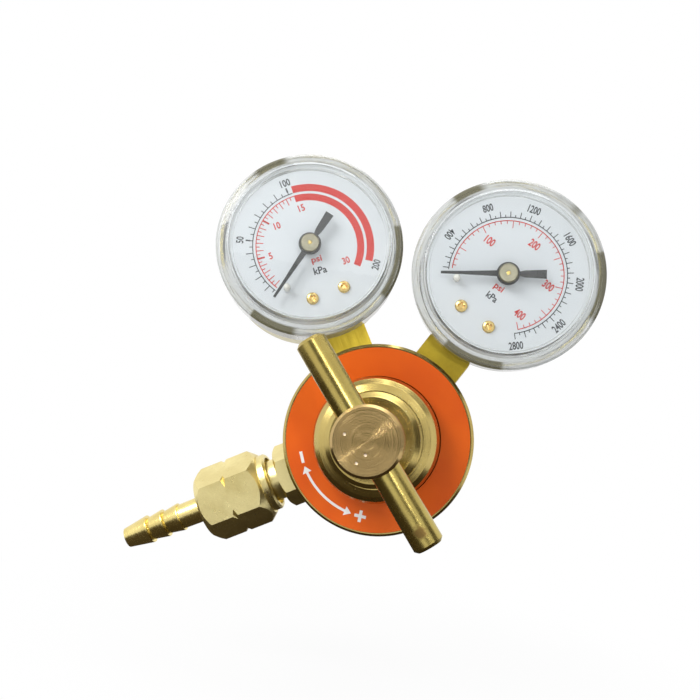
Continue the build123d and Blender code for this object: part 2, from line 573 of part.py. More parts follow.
def make_gauge(side, angle, twist):
    """Make every piece of one gauge."""
    face = gauge_face(angle, twist)
    tag = f"gauge_{side}_"
    neck_top = STEM_TOP + CASE_GAP + 3
    with BuildPart() as socket:
        turn_on_port(angle, [
            (0, PORT_BORE_IN + 0.2), (PLUG_R, PORT_BORE_IN + 0.2),
            (PLUG_R, STEM_LOW + 1), (0, STEM_LOW + 1),
        ])
        turn_on_port(angle, [
            (0, STEM_TOP - 1), (CASE_NECK_R, STEM_TOP - 1), (CASE_NECK_R, neck_top), (0, neck_top),
        ])
        with BuildSketch(radial_plane(angle, STEM_LOW, twist)):
            Rectangle(STEM_SQ, STEM_SQ)
        extrude(amount=STEM_TOP - STEM_LOW)
        block_low = CASE_WALL + 1.2 - CASE_R
        with BuildSketch(face.offset(-BLOCK_DEEP / 2)):
            with Locations((0, (block_low + BLOCK_TOP) / 2)):
                Rectangle(BLOCK_W, BLOCK_TOP - block_low)
        extrude(amount=BLOCK_DEEP)
        for post_x in (-DIAL_SCREW_X, DIAL_SCREW_X):
            post = (post_x, DIAL_SCREW_Z)
            disc(face, POST_R, BLOCK_DEEP / 2 - 0.4, DIAL_FACE - DIAL_T - PIN_GAP, spot=post)
            disc(face, DIAL_SCREW_R + PIN_GAP, DIAL_FACE - 6.5, DIAL_FACE, Mode.SUBTRACT, post)
        bore_top = GAUGE_R_AT - TUBE_R + TUBE_T / 4
        turn_on_port(angle, [(0, 0), (PASSAGE_R, 0), (PASSAGE_R, bore_top), (0, bore_top)], Mode.SUBTRACT)
    save(socket.part, tag + "socket")

    with BuildPart() as case:
        turn_on_gauge(face, [
            (0, CASE_BACK), (CASE_R - 1.5, CASE_BACK), (CASE_R - 0.4, CASE_BACK + 0.5),
            (CASE_R, CASE_BACK + 1.6), (CASE_R, CASE_FRONT), (CASE_R - CASE_WALL, CASE_FRONT),
            (CASE_R - CASE_WALL, CASE_BACK + 1.6), (CASE_R - CASE_WALL - 0.8, CASE_BACK + CASE_WALL),
            (0, CASE_BACK + CASE_WALL),
        ])
        with BuildSketch(radial_plane(angle, STEM_TOP - 1, twist)):
            Circle(CASE_NECK_R + THREAD_GAP)
        extrude(amount=4, mode=Mode.SUBTRACT)
    save(case.part, tag + "case")

    with BuildPart() as lens:
        turn_on_gauge(face, [
            (CASE_R + LENS_FIT, LENS_BACK), (LENS_R - 0.3, LENS_BACK), (LENS_R, LENS_BACK + 0.3),
            (LENS_R, LENS_SHOULDER - 0.5), (LENS_R - 0.6, LENS_SHOULDER),
            (LENS_STEP_R, LENS_SHOULDER + 0.5), (LENS_STEP_R - 0.4, LENS_FRONT - 0.6),
            (LENS_STEP_R - 1.1, LENS_FRONT), (0, LENS_FRONT), (0, LENS_FRONT - LENS_T),
            (LENS_STEP_R - 1.9, LENS_FRONT - LENS_T), (LENS_STEP_R - 1.6, CASE_FRONT + 0.2),
            (CASE_R + LENS_FIT, CASE_FRONT + 0.2),
        ])
    save(lens.part, tag + "lens")

    dial_back = DIAL_FACE - DIAL_T
    stop_angle = NEEDLE_REST - degrees(asin((STOP_PIN_R + 0.75) / STOP_R_AT))
    stop_spot = clock_point(STOP_R_AT, stop_angle)
    stop_shank_r = STOP_PIN_R - 0.3
    head_low = DIAL_FACE + PIN_GAP
    with BuildPart() as dial:
        disc(face, DIAL_R, dial_back, DIAL_FACE)
        disc(face, ARBOR_R + 1.5, dial_back, DIAL_FACE, Mode.SUBTRACT)
        for hole_x in (-DIAL_SCREW_X, DIAL_SCREW_X):
            disc(face, DIAL_SCREW_R + FACE_GAP, dial_back, DIAL_FACE, Mode.SUBTRACT, (hole_x, DIAL_SCREW_Z))
        disc(face, stop_shank_r + PIN_GAP, dial_back, DIAL_FACE, Mode.SUBTRACT, stop_spot)
    save(dial.part, tag + "dial")

    for letter, screw_x in (("a", -DIAL_SCREW_X), ("b", DIAL_SCREW_X)):
        with BuildPart() as dial_screw:
            spot = (screw_x, DIAL_SCREW_Z)
            disc(face, DIAL_SCREW_HEAD_R, head_low, head_low + DIAL_SCREW_HEAD_T, spot=spot)
            chamfer(dial_screw.edges().filter_by(GeomType.CIRCLE).sort_by(Axis.Y)[0], length=0.4)
            disc(face, DIAL_SCREW_R, DIAL_FACE - 5, DIAL_FACE + 0.5, spot=spot)
        save(dial_screw.part, f"{tag}dial_screw_{letter}")

    with BuildPart() as stop_pin:
        disc(face, STOP_PIN_R, head_low, NEEDLE_FACE + 0.5, spot=stop_spot)
        disc(face, stop_shank_r, dial_back, DIAL_FACE + 0.5, spot=stop_spot)
    save(stop_pin.part, tag + "stop_pin")

    aim = radians(SECTOR_AIM_DEG)
    pivot = (-CENTRE_GAP * cos(aim), -CENTRE_GAP * sin(aim))
    tail_turn = radians(-TAIL_TURN / 2)
    tail_pin = (pivot[0] + TAIL_ARM * cos(tail_turn), pivot[1] + TAIL_ARM * sin(tail_turn))
    half_block = BLOCK_W / 2
    start_deg = 271.5 - degrees(asin((half_block + 0.2 + TUBE_T / 2) / TUBE_R))
    tip_dir = face.x_dir * cos(radians(TUBE_TIP_DEG)) + face.y_dir * sin(radians(TUBE_TIP_DEG))
    with BuildPart() as bourdon_tube:
        with BuildSketch(Plane(face.origin, x_dir=tip_dir, z_dir=tip_dir.cross(face.z_dir))):
            with Locations((TUBE_R, 0)):
                RectangleRounded(TUBE_T, TUBE_W, TUBE_T * 0.45)
        revolve(axis=Axis(face.origin, face.z_dir), revolution_arc=start_deg - TUBE_TIP_DEG)
        with BuildSketch(face.offset(-TUBE_W / 2)):
            with Locations((TUBE_R - 1.5, LINK_RISE)):
                Rectangle(TUBE_T + 2.4, 2.6)
        extrude(amount=TUBE_W / 2 + SECTOR_T)
    save(bourdon_tube.part, tag + "bourdon_tube")

    bar_low = BLOCK_TOP + THREAD_GAP
    with BuildPart() as movement_frame:
        for low in (PLATE_REAR, PLATE_FRONT - PLATE_THICK):
            with BuildSketch(face.offset(low)):
                with BuildLine():
                    Polyline(
                        (-half_block, bar_low), (half_block, bar_low), (FRAME_EAR_X - 0.4, FRAME_EAR_LOW),
                        (FRAME_EAR_X, FRAME_EAR_TOP), (half_block / 2, FRAME_TOP),
                        (-half_block, FRAME_TOP), close=True)
                make_face()
                Circle(ARBOR_R + RUN_GAP, mode=Mode.SUBTRACT)
                with Locations(pivot):
                    Circle(ARBOR_R + RUN_GAP, mode=Mode.SUBTRACT)
            extrude(amount=PLATE_THICK)
        with BuildSketch(face.offset(PLATE_REAR)):
            with Locations((0, bar_low + 0.9)):
                Rectangle(BLOCK_W, 1.8)
            with Locations((1.4 - half_block, FRAME_TOP - 1.9)):
                Circle(1.1)
        extrude(amount=PLATE_FRONT - PLATE_REAR)
    save(movement_frame.part, tag + "movement_frame")

    pinion_root = GEAR_MODULE * (PINION_TEETH / 2 - 19 / 15)
    pinion_tip = GEAR_MODULE * (PINION_TEETH / 2 + 11 / 15)
    pinion_teeth = gear_outline(PINION_TEETH, 0, PINION_TEETH - 1, pinion_root, pinion_tip, aim + pi)
    rear_shoulder = PLATE_REAR + PLATE_THICK + FACE_GAP
    front_shoulder = PLATE_FRONT - PLATE_THICK - THREAD_GAP
    seat_low = NEEDLE_FACE - 1.5
    arbor_top = NEEDLE_FACE + 0.9
    seat_r = ARBOR_R - THREAD_GAP
    with BuildPart() as arbor:
        with BuildSketch(face.offset(-SECTOR_T)):
            with BuildLine():
                Polyline(*pinion_teeth, close=True)
            make_face()
        extrude(amount=2 * SECTOR_T + 1)
        turn_on_gauge(face, [
            (0, PLATE_REAR), (ARBOR_R, PLATE_REAR), (ARBOR_R, rear_shoulder), (pinion_root, rear_shoulder),
            (pinion_root, front_shoulder), (ARBOR_R, front_shoulder), (ARBOR_R, seat_low),
            (seat_r, seat_low), (seat_r, arbor_top), (0, arbor_top),
        ])
    save(arbor.part, tag + "arbor")

    tooth_step = 2 * pi / SECTOR_FULL_TEETH
    span = int(radians(SECTOR_TURN) / tooth_step) + 2
    sector_root = GEAR_MODULE * (SECTOR_FULL_TEETH / 2 - 1.2)
    sector_tip = GEAR_MODULE * (SECTOR_FULL_TEETH / 2 + 0.8)
    teeth = gear_outline(SECTOR_FULL_TEETH, -span, 1, sector_root, sector_tip, aim + tooth_step / 2)
    low_end = atan2(teeth[0][1], teeth[0][0])
    high_end = atan2(teeth[-1][1], teeth[-1][0])
    if high_end < low_end:
        high_end += 2 * pi
    inner_r = sector_root - 1.8
    inner = []
    for k in range(7):
        turned = high_end + (low_end - high_end) * k / 6
        inner.append((inner_r * cos(turned), inner_r * sin(turned)))
    toothed_rim = [(pivot[0] + x, pivot[1] + y) for x, y in teeth + inner]
    spoke = (low_end + high_end) / 2
    across = (-1.2 * sin(spoke), 1.2 * cos(spoke))
    head = (pivot[0] + (inner_r + 0.6) * cos(spoke), pivot[1] + (inner_r + 0.6) * sin(spoke))
    spoke_outline = [
        (pivot[0] - across[0], pivot[1] - across[1]), (head[0] - across[0], head[1] - across[1]),
        (head[0] + across[0], head[1] + across[1]), (pivot[0] + across[0], pivot[1] + across[1]),
    ]
    link_low = SECTOR_T + LOOSE_GAP
    link_front = link_low + LINK_T
    with BuildPart() as sector_gear:
        for outline in (toothed_rim, spoke_outline):
            with BuildSketch(face):
                with BuildLine():
                    Polyline(*outline, close=True)
                make_face()
            extrude(amount=SECTOR_T)
        disc(face, 3 * ARBOR_R, 0, SECTOR_T, spot=pivot)
        disc(face, EYE_R, 0, SECTOR_T, spot=tail_pin)
        disc(face, EYE_R + 0.5, rear_shoulder + 0.1, SECTOR_T, spot=pivot)
        disc(face, EYE_R, SECTOR_T - 0.2, front_shoulder - PIN_GAP, spot=pivot)
        disc(face, ARBOR_R, PLATE_REAR, PLATE_FRONT, spot=pivot)
        disc(face, EYE_R - 0.6, SECTOR_T - 0.2, link_front + 0.2, spot=tail_pin)
    save(sector_gear.part, tag + "sector_gear")

    with BuildPart() as link:
        with BuildSketch(face.offset(link_low)):
            with Locations((tail_pin[0], (tail_pin[1] + LINK_RISE) / 2)):
                SlotOverall(LINK_RISE - tail_pin[1] + 2 * EYE_R, 2 * EYE_R, rotation=90)
            with Locations(tail_pin):
                Circle(EYE_R - 0.3, mode=Mode.SUBTRACT)
        extrude(amount=LINK_T)
        disc(face, EYE_R - 0.5, link_low + LOOSE_GAP, link_front + 0.35, spot=(tail_pin[0], LINK_RISE))
    save(link.part, tag + "link")

    with BuildPart() as pointer:
        needle_low = NEEDLE_FACE - NEEDLE_T
        rest = radians(-NEEDLE_REST)
        needle_across = face.x_dir * cos(rest) + face.y_dir * sin(rest)
        with BuildSketch(Plane(face.offset(needle_low).origin, x_dir=needle_across, z_dir=face.z_dir)):
            with BuildLine():
                Polyline(
                    (-NEEDLE_HALF_W, 0), (-NEEDLE_TIP_HALF_W, NEEDLE_TIP), (NEEDLE_TIP_HALF_W, NEEDLE_TIP),
                    (NEEDLE_HALF_W, 0), (NEEDLE_TAIL_HALF_W, -NEEDLE_TAIL),
                    (-NEEDLE_TAIL_HALF_W, -NEEDLE_TAIL), close=True)
            make_face()
            Circle(POINTER_HUB_R + 0.5)
            Circle(POINTER_HUB_R - 1.2, mode=Mode.SUBTRACT)
        extrude(amount=NEEDLE_T)
    save(pointer.part, tag + "pointer")

    with BuildPart() as pointer_hub:
        turn_on_gauge(face, [
            (seat_r + PIN_GAP, needle_low - 0.6), (POINTER_HUB_R - 1.3, needle_low - 0.6),
            (POINTER_HUB_R - 1.3, NEEDLE_FACE + FACE_GAP), (POINTER_HUB_R, NEEDLE_FACE + FACE_GAP),
            (POINTER_HUB_R, POINTER_HUB_TOP - 0.3), (POINTER_HUB_R - 0.3, POINTER_HUB_TOP),
            (seat_r + PIN_GAP, POINTER_HUB_TOP),
        ])
    save(pointer_hub.part, tag + "pointer_hub")


make_gauge("left", -GAUGE_ANGLE, GAUGE_TWIST["left"])
make_gauge("right", GAUGE_ANGLE, GAUGE_TWIST["right"])
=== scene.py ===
"""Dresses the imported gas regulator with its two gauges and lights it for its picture."""

import logging
from dataclasses import dataclass
from enum import Enum
from math import atan2, ceil, cos, degrees, pi, radians, sin
from typing import Any, Sequence, Union

import bmesh
import bpy
from mathutils import Matrix, Vector


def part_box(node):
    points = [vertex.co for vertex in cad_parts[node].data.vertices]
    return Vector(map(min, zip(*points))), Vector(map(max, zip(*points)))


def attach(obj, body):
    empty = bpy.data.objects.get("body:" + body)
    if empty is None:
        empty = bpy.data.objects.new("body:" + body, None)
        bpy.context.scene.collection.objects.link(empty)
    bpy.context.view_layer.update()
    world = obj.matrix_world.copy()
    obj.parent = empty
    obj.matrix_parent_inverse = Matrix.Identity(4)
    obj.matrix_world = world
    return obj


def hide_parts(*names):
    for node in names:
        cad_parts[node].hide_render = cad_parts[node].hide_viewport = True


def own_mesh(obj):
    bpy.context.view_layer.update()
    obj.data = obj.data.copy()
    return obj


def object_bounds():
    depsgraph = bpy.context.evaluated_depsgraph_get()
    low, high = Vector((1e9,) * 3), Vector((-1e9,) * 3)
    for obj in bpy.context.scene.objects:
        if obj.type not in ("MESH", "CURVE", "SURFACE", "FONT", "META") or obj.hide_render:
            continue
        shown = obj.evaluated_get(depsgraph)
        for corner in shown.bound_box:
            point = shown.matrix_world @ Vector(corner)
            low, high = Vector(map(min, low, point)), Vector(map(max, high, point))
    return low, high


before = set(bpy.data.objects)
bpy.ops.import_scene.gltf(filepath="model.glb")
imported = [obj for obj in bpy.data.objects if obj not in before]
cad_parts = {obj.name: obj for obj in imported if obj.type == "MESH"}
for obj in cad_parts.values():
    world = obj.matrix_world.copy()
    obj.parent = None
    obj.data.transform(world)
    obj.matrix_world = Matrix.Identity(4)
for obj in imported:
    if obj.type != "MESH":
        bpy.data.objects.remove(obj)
cad_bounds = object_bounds()

log = logging.getLogger("regulator")

MM = 0.001
ARC_STEP = 2.0
STROKE_WEIGHT = 0.02
BMesh = bmesh.types.BMesh
Material = bpy.types.Material
Mesh = bpy.types.Mesh
Object = bpy.types.Object
Socket = bpy.types.NodeSocket
Point = tuple[float, float, float]
Outline = Sequence[Sequence[float]]
Colour = tuple[float, float, float, float]
WHITE: Colour = (1.0, 1.0, 1.0, 1.0)


class Side(Enum):
    """Which of the two gauges."""

    LEFT = "left"
    RIGHT = "right"


class Ink(Enum):
    """The two inks of the dials."""

    BLACK = "black"
    RED = "red"


class Marks(Enum):
    """What a tool has left on a metal surface."""

    NONE = "none"
    RINGS = "rings"
    LINES = "lines"


# shader trees


@dataclass(frozen=True)
class Value:
    """A number inside a shader tree; arithmetic on it adds Math nodes."""

    shader: "Shader"
    socket: Socket

    def math(self, operation: str, *others: "Number") -> "Value":
        """Add one Math node on this number and the others."""
        made = self.shader.node("Math", {"operation": operation}, dict(enumerate((self, *others))))
        return Value(self.shader, made.outputs[0])

    def __add__(self, other: "Number") -> "Value":
        """Sum."""
        return self.math("ADD", other)

    __radd__ = __add__

    def __sub__(self, other: "Number") -> "Value":
        """Difference."""
        return self.math("SUBTRACT", other)

    def __rsub__(self, other: "Number") -> "Value":
        """Difference from a plain number."""
        return (self * -1.0) + other

    def __mul__(self, other: "Number") -> "Value":
        """Product."""
        return self.math("MULTIPLY", other)

    __rmul__ = __mul__

    def __truediv__(self, other: "Number") -> "Value":
        """Quotient."""
        return self.math("DIVIDE", other)

    def clamped(self) -> "Value":
        """Held between nought and one."""
        return self.math("MAXIMUM", 0.0).math("MINIMUM", 1.0)

    def step(self, low: float, high: float) -> "Value":
        """Rise smoothly from nought at low to one at high."""
        span = self.shader.node("MapRange", {"interpolation_type": "SMOOTHSTEP"},
                                {"Value": self, "From Min": low, "From Max": high})
        return Value(self.shader, span.outputs["Result"])


Number = Union[Value, float]
Feed = Union[Value, Socket, float, tuple, Vector]


class Shader:
    """One material or world and the nodes inside it."""

    def __init__(self, tree: bpy.types.NodeTree) -> None:
        """Start from an empty tree."""
        self.tree = tree
        tree.nodes.clear()

    def node(self, kind: str, settings: dict[str, Any] | None = None,
             sockets: dict[int | str, Feed] | None = None) -> bpy.types.Node:
        """Add one node.

        Args:
            kind: the node's type, without its prefix.
            settings: properties that are set first.
            sockets: values or links of its inputs, by name or number.

        Returns:
            The new node.
        """
        made = self.tree.nodes.new("ShaderNode" + kind)
        for name, value in (settings or {}).items():
            setattr(made, name, value)
        for name, value in (sockets or {}).items():
            source = value.socket if isinstance(value, Value) else value
            if isinstance(source, Socket):
                self.tree.links.new(source, made.inputs[name])
            else:
                made.inputs[name].default_value = source
        return made

    def first(self, kind: str, sockets: dict[int | str, Feed]) -> Socket:
        """Add one node without settings and give its first output."""
        return self.node(kind, None, sockets).outputs[0]

    def vector(self, operation: str, *operands: Feed, output: str = "Vector") -> Socket:
        """Add one Vector Math node and give one of its outputs."""
        names = (0, "Scale") if operation == "SCALE" else (0, 1, 2)
        return self.node("VectorMath", {"operation": operation}, dict(zip(names, operands))).outputs[output]

    def measure(self, operation: str, *operands: Feed) -> Value:
        """Number that a Vector Math node gives."""
        return Value(self, self.vector(operation, *operands, output="Value"))

    def place(self) -> Socket:
        """Place on the object in metres, which moves with the piece."""
        return self.node("TexCoord").outputs["Object"]

    def surface_normal(self) -> Socket:
        """The smooth normal of the surface."""
        return self.node("NewGeometry").outputs["Normal"]

    def noise(self, vector: Feed, scale: float, detail: float = 2.0, roughness: float = 0.5) -> Value:
        """Smooth noise of nought to one, by its lumps to a unit, its layers and their strength."""
        return Value(self, self.first("TexNoise", {
            "Vector": vector, "Scale": scale, "Detail": detail, "Roughness": roughness}))

    def mix(self, amount: Number, first: Feed, second: Feed) -> Socket:
        """Mix two colours: nought gives the first, one the second."""
        made = self.node("Mix", {"data_type": "RGBA"}, {0: amount, 6: first, 7: second})
        return made.outputs[2]

    def bump(self, height: Value, distance: float, normal: Socket | None = None) -> Socket:
        """Turn a height into a normal.

        Args:
            height: nought to one.
            distance: how high one is, in metres.
            normal: a normal to start from.

        Returns:
            The new normal.
        """
        sockets: dict[int | str, Feed] = {"Height": height, "Distance": distance}
        if normal is not None:
            sockets["Normal"] = normal
        return self.node("Bump", None, sockets).outputs["Normal"]

    def near(self, point: Point, size: float, core: float, ragged: Number = 0.0) -> Value:
        """Mask of a round spot, whole out to the core share of its size, with a ragged edge."""
        return 1.0 - (self.measure("DISTANCE", self.place(), point) + ragged).step(size * core, size)

    def rays(self, *names: str) -> list[Value]:
        """Outputs of a Light Path node."""
        path = self.node("LightPath").outputs
        return [Value(self, path[name]) for name in names]

    def background_rays(self) -> Value:
        """One for the rays that meet the white background, nought for those that light the object."""
        seen, mirrored, through, depth = self.rays(
            "Is Camera Ray", "Is Glossy Ray", "Is Transmission Ray", "Diffuse Depth")
        return (seen + (mirrored + through) * (1.0 - depth.clamped())).clamped()


@dataclass(frozen=True)
class Axle:
    """A line that turned pieces are turned about, in metres in the row's frame."""

    point: Point
    direction: Point

    def spread(self, shader: Shader) -> tuple[Value, Value, Socket]:
        """Split a place into what lies along the line and across it.

        Args:
            shader: the tree that the nodes go into.

        Returns:
            The distance along, the distance out, and the vector out.
        """
        arm = shader.vector("SUBTRACT", shader.place(), self.point)
        along = shader.measure("DOT_PRODUCT", arm, self.direction)
        out = shader.vector("SUBTRACT", arm, shader.vector("SCALE", self.direction, along))
        return along, shader.measure("LENGTH", out), out

    def marked(self, shader: Shader, marks: Marks, pitch: float, tilt: float) -> Socket:
        """Normal of a turned or drawn surface, tilted at random across its fine marks.

        Args:
            shader: the tree that the nodes go into.
            marks: rings around the line, or lines along it.
            pitch: width of one mark in metres.
            tilt: the largest tilt, as a slope.

        Returns:
            The tilted normal.
        """
        along, out_length, out = self.spread(shader)
        if marks is Marks.RINGS:
            way = shader.vector("NORMALIZE", shader.vector("CROSS_PRODUCT", self.direction, out))
            count = (along + out_length) / pitch
            spot = shader.first("CombineXYZ", {"X": count, "Y": 0.37, "Z": 0.71})
        else:
            way = self.direction
            spot = shader.vector("SCALE", out, 1.0 / pitch)
        normal = shader.surface_normal()
        across = shader.vector("CROSS_PRODUCT", normal, way)
        wobble = (shader.noise(spot, 1.0, 1.0) - 0.5) * (4.0 * tilt)
        tilted = shader.vector("ADD", normal, shader.vector("SCALE", across, wobble))
        return shader.vector("NORMALIZE", tilted)


# places in the row's frame

BODY_AXLE = Axle((0.0, 0.0, 0.0), (0.0, 1.0, 0.0))
PORT_Y = -47.0 * MM
GAUGE_OUT = 58.0 * MM
OUTLET_ANGLE = -120.0
BAR_ANGLE = -39.0
BAR_Y = -90.9 * MM


def around_body(angle: float) -> Vector:
    """Direction that stands out from the body's axis, in degrees clockwise from the top."""
    return Vector((sin(radians(angle)), 0.0, cos(radians(angle))))


OUTLET_AXLE = Axle((0.0, PORT_Y, 0.0), tuple(around_body(OUTLET_ANGLE)))
BAR_AXLE = Axle((0.0, BAR_Y, 0.0), tuple(around_body(BAR_ANGLE)))


@dataclass(frozen=True)
class Dial:
    """Where one gauge's dial lies and how it is turned."""

    side: Side
    angle: float
    twist: float

    @property
    def up(self) -> Vector:
        """From the stem to the top of the dial."""
        return around_body(self.angle)

    @property
    def right(self) -> Vector:
        """Across the dial, as its reader sees it."""
        level = Vector((cos(radians(self.angle)), 0.0, -sin(radians(self.angle))))
        return level * cos(radians(self.twist)) + Vector((0.0, 1.0, 0.0)) * sin(radians(self.twist))

    @property
    def front(self) -> Vector:
        """Towards the reader."""
        return self.right.cross(self.up)

    @property
    def centre(self) -> Vector:
        """Middle of the gauge on the stem's axis."""
        return Vector((0.0, PORT_Y, 0.0)) + self.up * GAUGE_OUT

    def matrix(self) -> Matrix:
        """From the dial's own metres, x across and y up, to the row's frame."""
        turn = Matrix((self.right, self.up, self.front)).transposed().to_4x4()
        return Matrix.Translation(self.centre) @ turn

    def axle(self) -> Axle:
        """The needle's axis."""
        return Axle(tuple(self.centre), tuple(self.front))

    def stem(self) -> Axle:
        """The stem's axis."""
        return Axle((0.0, PORT_Y, 0.0), tuple(self.up))

    def node(self, piece: str) -> str:
        """Name of one of this gauge's nodes."""
        return f"gauge_{self.side.value}_{piece}"


LEFT_DIAL = Dial(Side.LEFT, -30.0, 9.2)
RIGHT_DIAL = Dial(Side.RIGHT, 30.0, 0.0)


# finishes


@dataclass(frozen=True)
class Tone:
    """A colour and the one that it drifts to over the surface."""

    base: Point
    shade: Point

    def mix(self, shader: Shader, amount: Number) -> Socket:
        """The base where the amount is nought, the shade where it is one."""
        return shader.mix(amount, (*self.base, 1.0), (*self.shade, 1.0))


@dataclass(frozen=True)
class Finish:
    """A named finish; each kind fills in its own shader."""

    name: str

    def build(self) -> Material:
        """Make the material.

        Returns:
            The finished material.
        """
        material = bpy.data.materials.new(self.name)
        material.use_nodes = True
        shader = Shader(material.node_tree)
        shader.node("OutputMaterial", None, {"Surface": self.surface(shader)})
        return material

    def surface(self, shader: Shader) -> Socket:
        """Fill the tree; each kind of finish has its own.

        Args:
            shader: the tree that the nodes go into.

        Returns:
            The shader for the output.
        """
        raise NotImplementedError


@dataclass(frozen=True)
class Brass(Finish):
    """Yellow brass: lathe rings, drawn lines or a tumbled grain, with faint tarnish."""

    tone: Tone
    roughness: float
    axle: Axle
    marks: Marks = Marks.NONE
    pitch: float = 0.0
    tilt: float = 0.0
    grain: float = 0.0
    grain_scale: float = 3500.0
    tarnish: float = 0.35
    pits: tuple[Point, ...] = ()
    pit_size: float = 0.45 * MM
    pit_depth: float = 0.12 * MM
    pit_colour: Colour = (0.95, 0.78, 0.62, 1.0)
    stain_at: Point | None = None
    stain_size: float = 2.2 * MM
    stain_colour: Colour = (0.17, 0.085, 0.03, 1.0)
    thread_pitch: float = 0.0
    thread_inside: float = 0.0

    def surface(self, shader: Shader) -> Socket:
        """Fill the tree with the brass."""
        spot = shader.place()
        cloud = shader.noise(spot, 90.0, 3.0, 0.55).step(0.42, 0.66)
        speck = shader.noise(spot, 1400.0, 3.0, 0.6).step(0.45, 0.75)
        colour = self.tone.mix(shader, (cloud * self.tarnish + speck * (self.tarnish * 0.3)).clamped())
        rough = shader.noise(spot, 420.0, 3.0) * 0.14 + (self.roughness - 0.07)
        normal = shader.surface_normal()
        if self.marks is not Marks.NONE:
            normal = self.axle.marked(shader, self.marks, self.pitch, self.tilt)
        if self.grain:
            grain = shader.noise(spot, self.grain_scale, 4.0, 0.65)
            normal = shader.bump(grain, self.grain, normal)
            rough = rough + (grain - 0.5) * 0.25
        if self.thread_pitch:
            normal = self.thread(shader, normal)
        for pit in self.pits:
            mask = shader.near(pit, self.pit_size, 0.4)
            colour = shader.mix(mask * 0.8, colour, self.pit_colour)
            normal = shader.bump(1.0 - mask, self.pit_depth, normal)
            rough = rough + mask * 0.3
        if self.stain_at is not None:
            ragged = (shader.noise(spot, 900.0, 3.0) - 0.5) * (self.stain_size * 1.3)
            mask = shader.near(self.stain_at, self.stain_size, 0.3, ragged)
            colour = shader.mix(mask * 0.75, colour, self.stain_colour)
            rough = rough + mask * 0.25
        return shader.first("BsdfPrincipled", {
            "Base Color": colour, "Metallic": 1.0, "Roughness": rough.clamped(), "Normal": normal,
        })

    def thread(self, shader: Shader, normal: Socket) -> Socket:
        """Lay a screw thread over the surfaces that lie within thread_inside of the axis.

        Args:
            shader: the tree that the nodes go into.
            normal: the normal to start from.

        Returns:
            The threaded normal.
        """
        along, out_length, out = self.axle.spread(shader)
        parts = shader.node("SeparateXYZ", None, {0: out}).outputs
        turn = Value(shader, parts["X"]).math("ARCTAN2", Value(shader, parts["Z"])) / (2.0 * pi)
        phase = (along / self.thread_pitch + turn).math("FRACT")
        ridge = 1.0 - ((phase - 0.5).math("ABSOLUTE") * 2.0)
        inside = 1.0 - out_length.step(self.thread_inside, self.thread_inside + 0.1 * MM)
        return shader.bump(ridge * inside, self.thread_pitch * 0.5, normal)


@dataclass(frozen=True)
class Enamel(Finish):
    """Paint or print: an even colour with a faint unevenness and a soft gloss."""

    tone: Tone
    roughness: float = 0.4
    coat: float = 0.0
    gloss: float = 0.5
    peel: float = 0.004 * MM

    def surface(self, shader: Shader) -> Socket:
        """Fill the tree with the paint."""
        spot = shader.place()
        cloud = shader.noise(spot, 60.0, 2.0).step(0.35, 0.7)
        fine = shader.noise(spot, 2500.0, 2.0)
        rough = fine * 0.08 + (self.roughness - 0.04)
        return shader.first("BsdfPrincipled", {
            "Base Color": self.tone.mix(shader, (cloud * 0.6 + fine * 0.25).clamped()),
            "Roughness": rough.clamped(), "Coat Weight": self.coat, "Coat Roughness": 0.2,
            "Specular IOR Level": self.gloss, "Normal": shader.bump(fine, self.peel),
        })


@dataclass(frozen=True)
class ClearPlastic(Finish):
    """Clear plastic from a mould, see-through over the dial. Its thick rim carries painted refraction, pale
    with streaks, and dark patches that are a painted reflection of the brass case.
    """

    axle: Axle
    rim_from: float = 21.9 * MM
    rim_to: float = 23.3 * MM
    # radii of the painted reflection of the brass case, near the rim's outer edge
    patch_from: float = 24.1 * MM
    patch_to: float = 24.6 * MM
    tint: Colour = (0.975, 0.985, 0.985, 1.0)
    see_through: Colour = (0.94, 0.95, 0.95, 1.0)
    # rim colours: the pale one is painted refraction of the white surroundings, the dark one a painted
    # reflection of the brass case
    rim: Tone = Tone((0.60, 0.62, 0.62), (0.13, 0.12, 0.065))
    streak_width: float = 0.8 * MM
    bend: float = 1.49

    def surface(self, shader: Shader) -> Socket:
        """Fill the tree with the plastic."""
        spot = shader.place()
        ripple = shader.noise(spot, 260.0, 2.0)
        scuff = shader.noise(spot, 1800.0, 4.0, 0.6).step(0.55, 0.8)
        plastic = shader.first("BsdfPrincipled", {
            "Base Color": self.tint, "Roughness": (scuff * 0.05 + 0.015).clamped(), "IOR": self.bend,
            "Transmission Weight": 1.0, "Normal": shader.bump(ripple, 0.01 * MM),
        })
        _, out_length, out = self.axle.spread(shader)
        way = shader.vector("NORMALIZE", out)
        depth = shader.vector("SCALE", self.axle.direction, out_length / self.streak_width)
        # painted refraction: pale streaks around the rim
        refraction_streaks = shader.noise(shader.vector("ADD", shader.vector("SCALE", way, 1.7), depth), 1.0, 3.0, 0.6)
        # painted reflection of the brass case: dark patches near the outer edge
        case_reflection_patches = shader.noise(shader.vector("SCALE", way, 1.6), 1.0, 1.0).step(0.52, 0.58)
        dark = out_length.step(self.patch_from, self.patch_to) * case_reflection_patches
        painted_rim_share = refraction_streaks.step(0.38, 0.60) * 0.5 + dark * 0.35 + 0.2
        # opaque rim shader that carries the painted refraction and the painted reflection of the case
        painted_rim = shader.first("BsdfPrincipled", {
            "Base Color": self.rim.mix(shader, dark * 0.95), "Roughness": (scuff * 0.1 + 0.12).clamped(),
            "IOR": self.bend, "Normal": shader.bump(ripple, 0.02 * MM),
        })
        # how much of the painted rim lies over the clear plastic
        share = out_length.step(self.rim_from, self.rim_to) * painted_rim_share.clamped()
        solid = shader.first("MixShader", {0: share, 1: plastic, 2: painted_rim})
        clear = shader.first("BsdfTransparent", {"Color": self.see_through})
        shadow, diffuse = shader.rays("Is Shadow Ray", "Is Diffuse Ray")
        light = (shadow + diffuse).clamped()
        return shader.first("MixShader", {0: light, 1: solid, 2: clear})


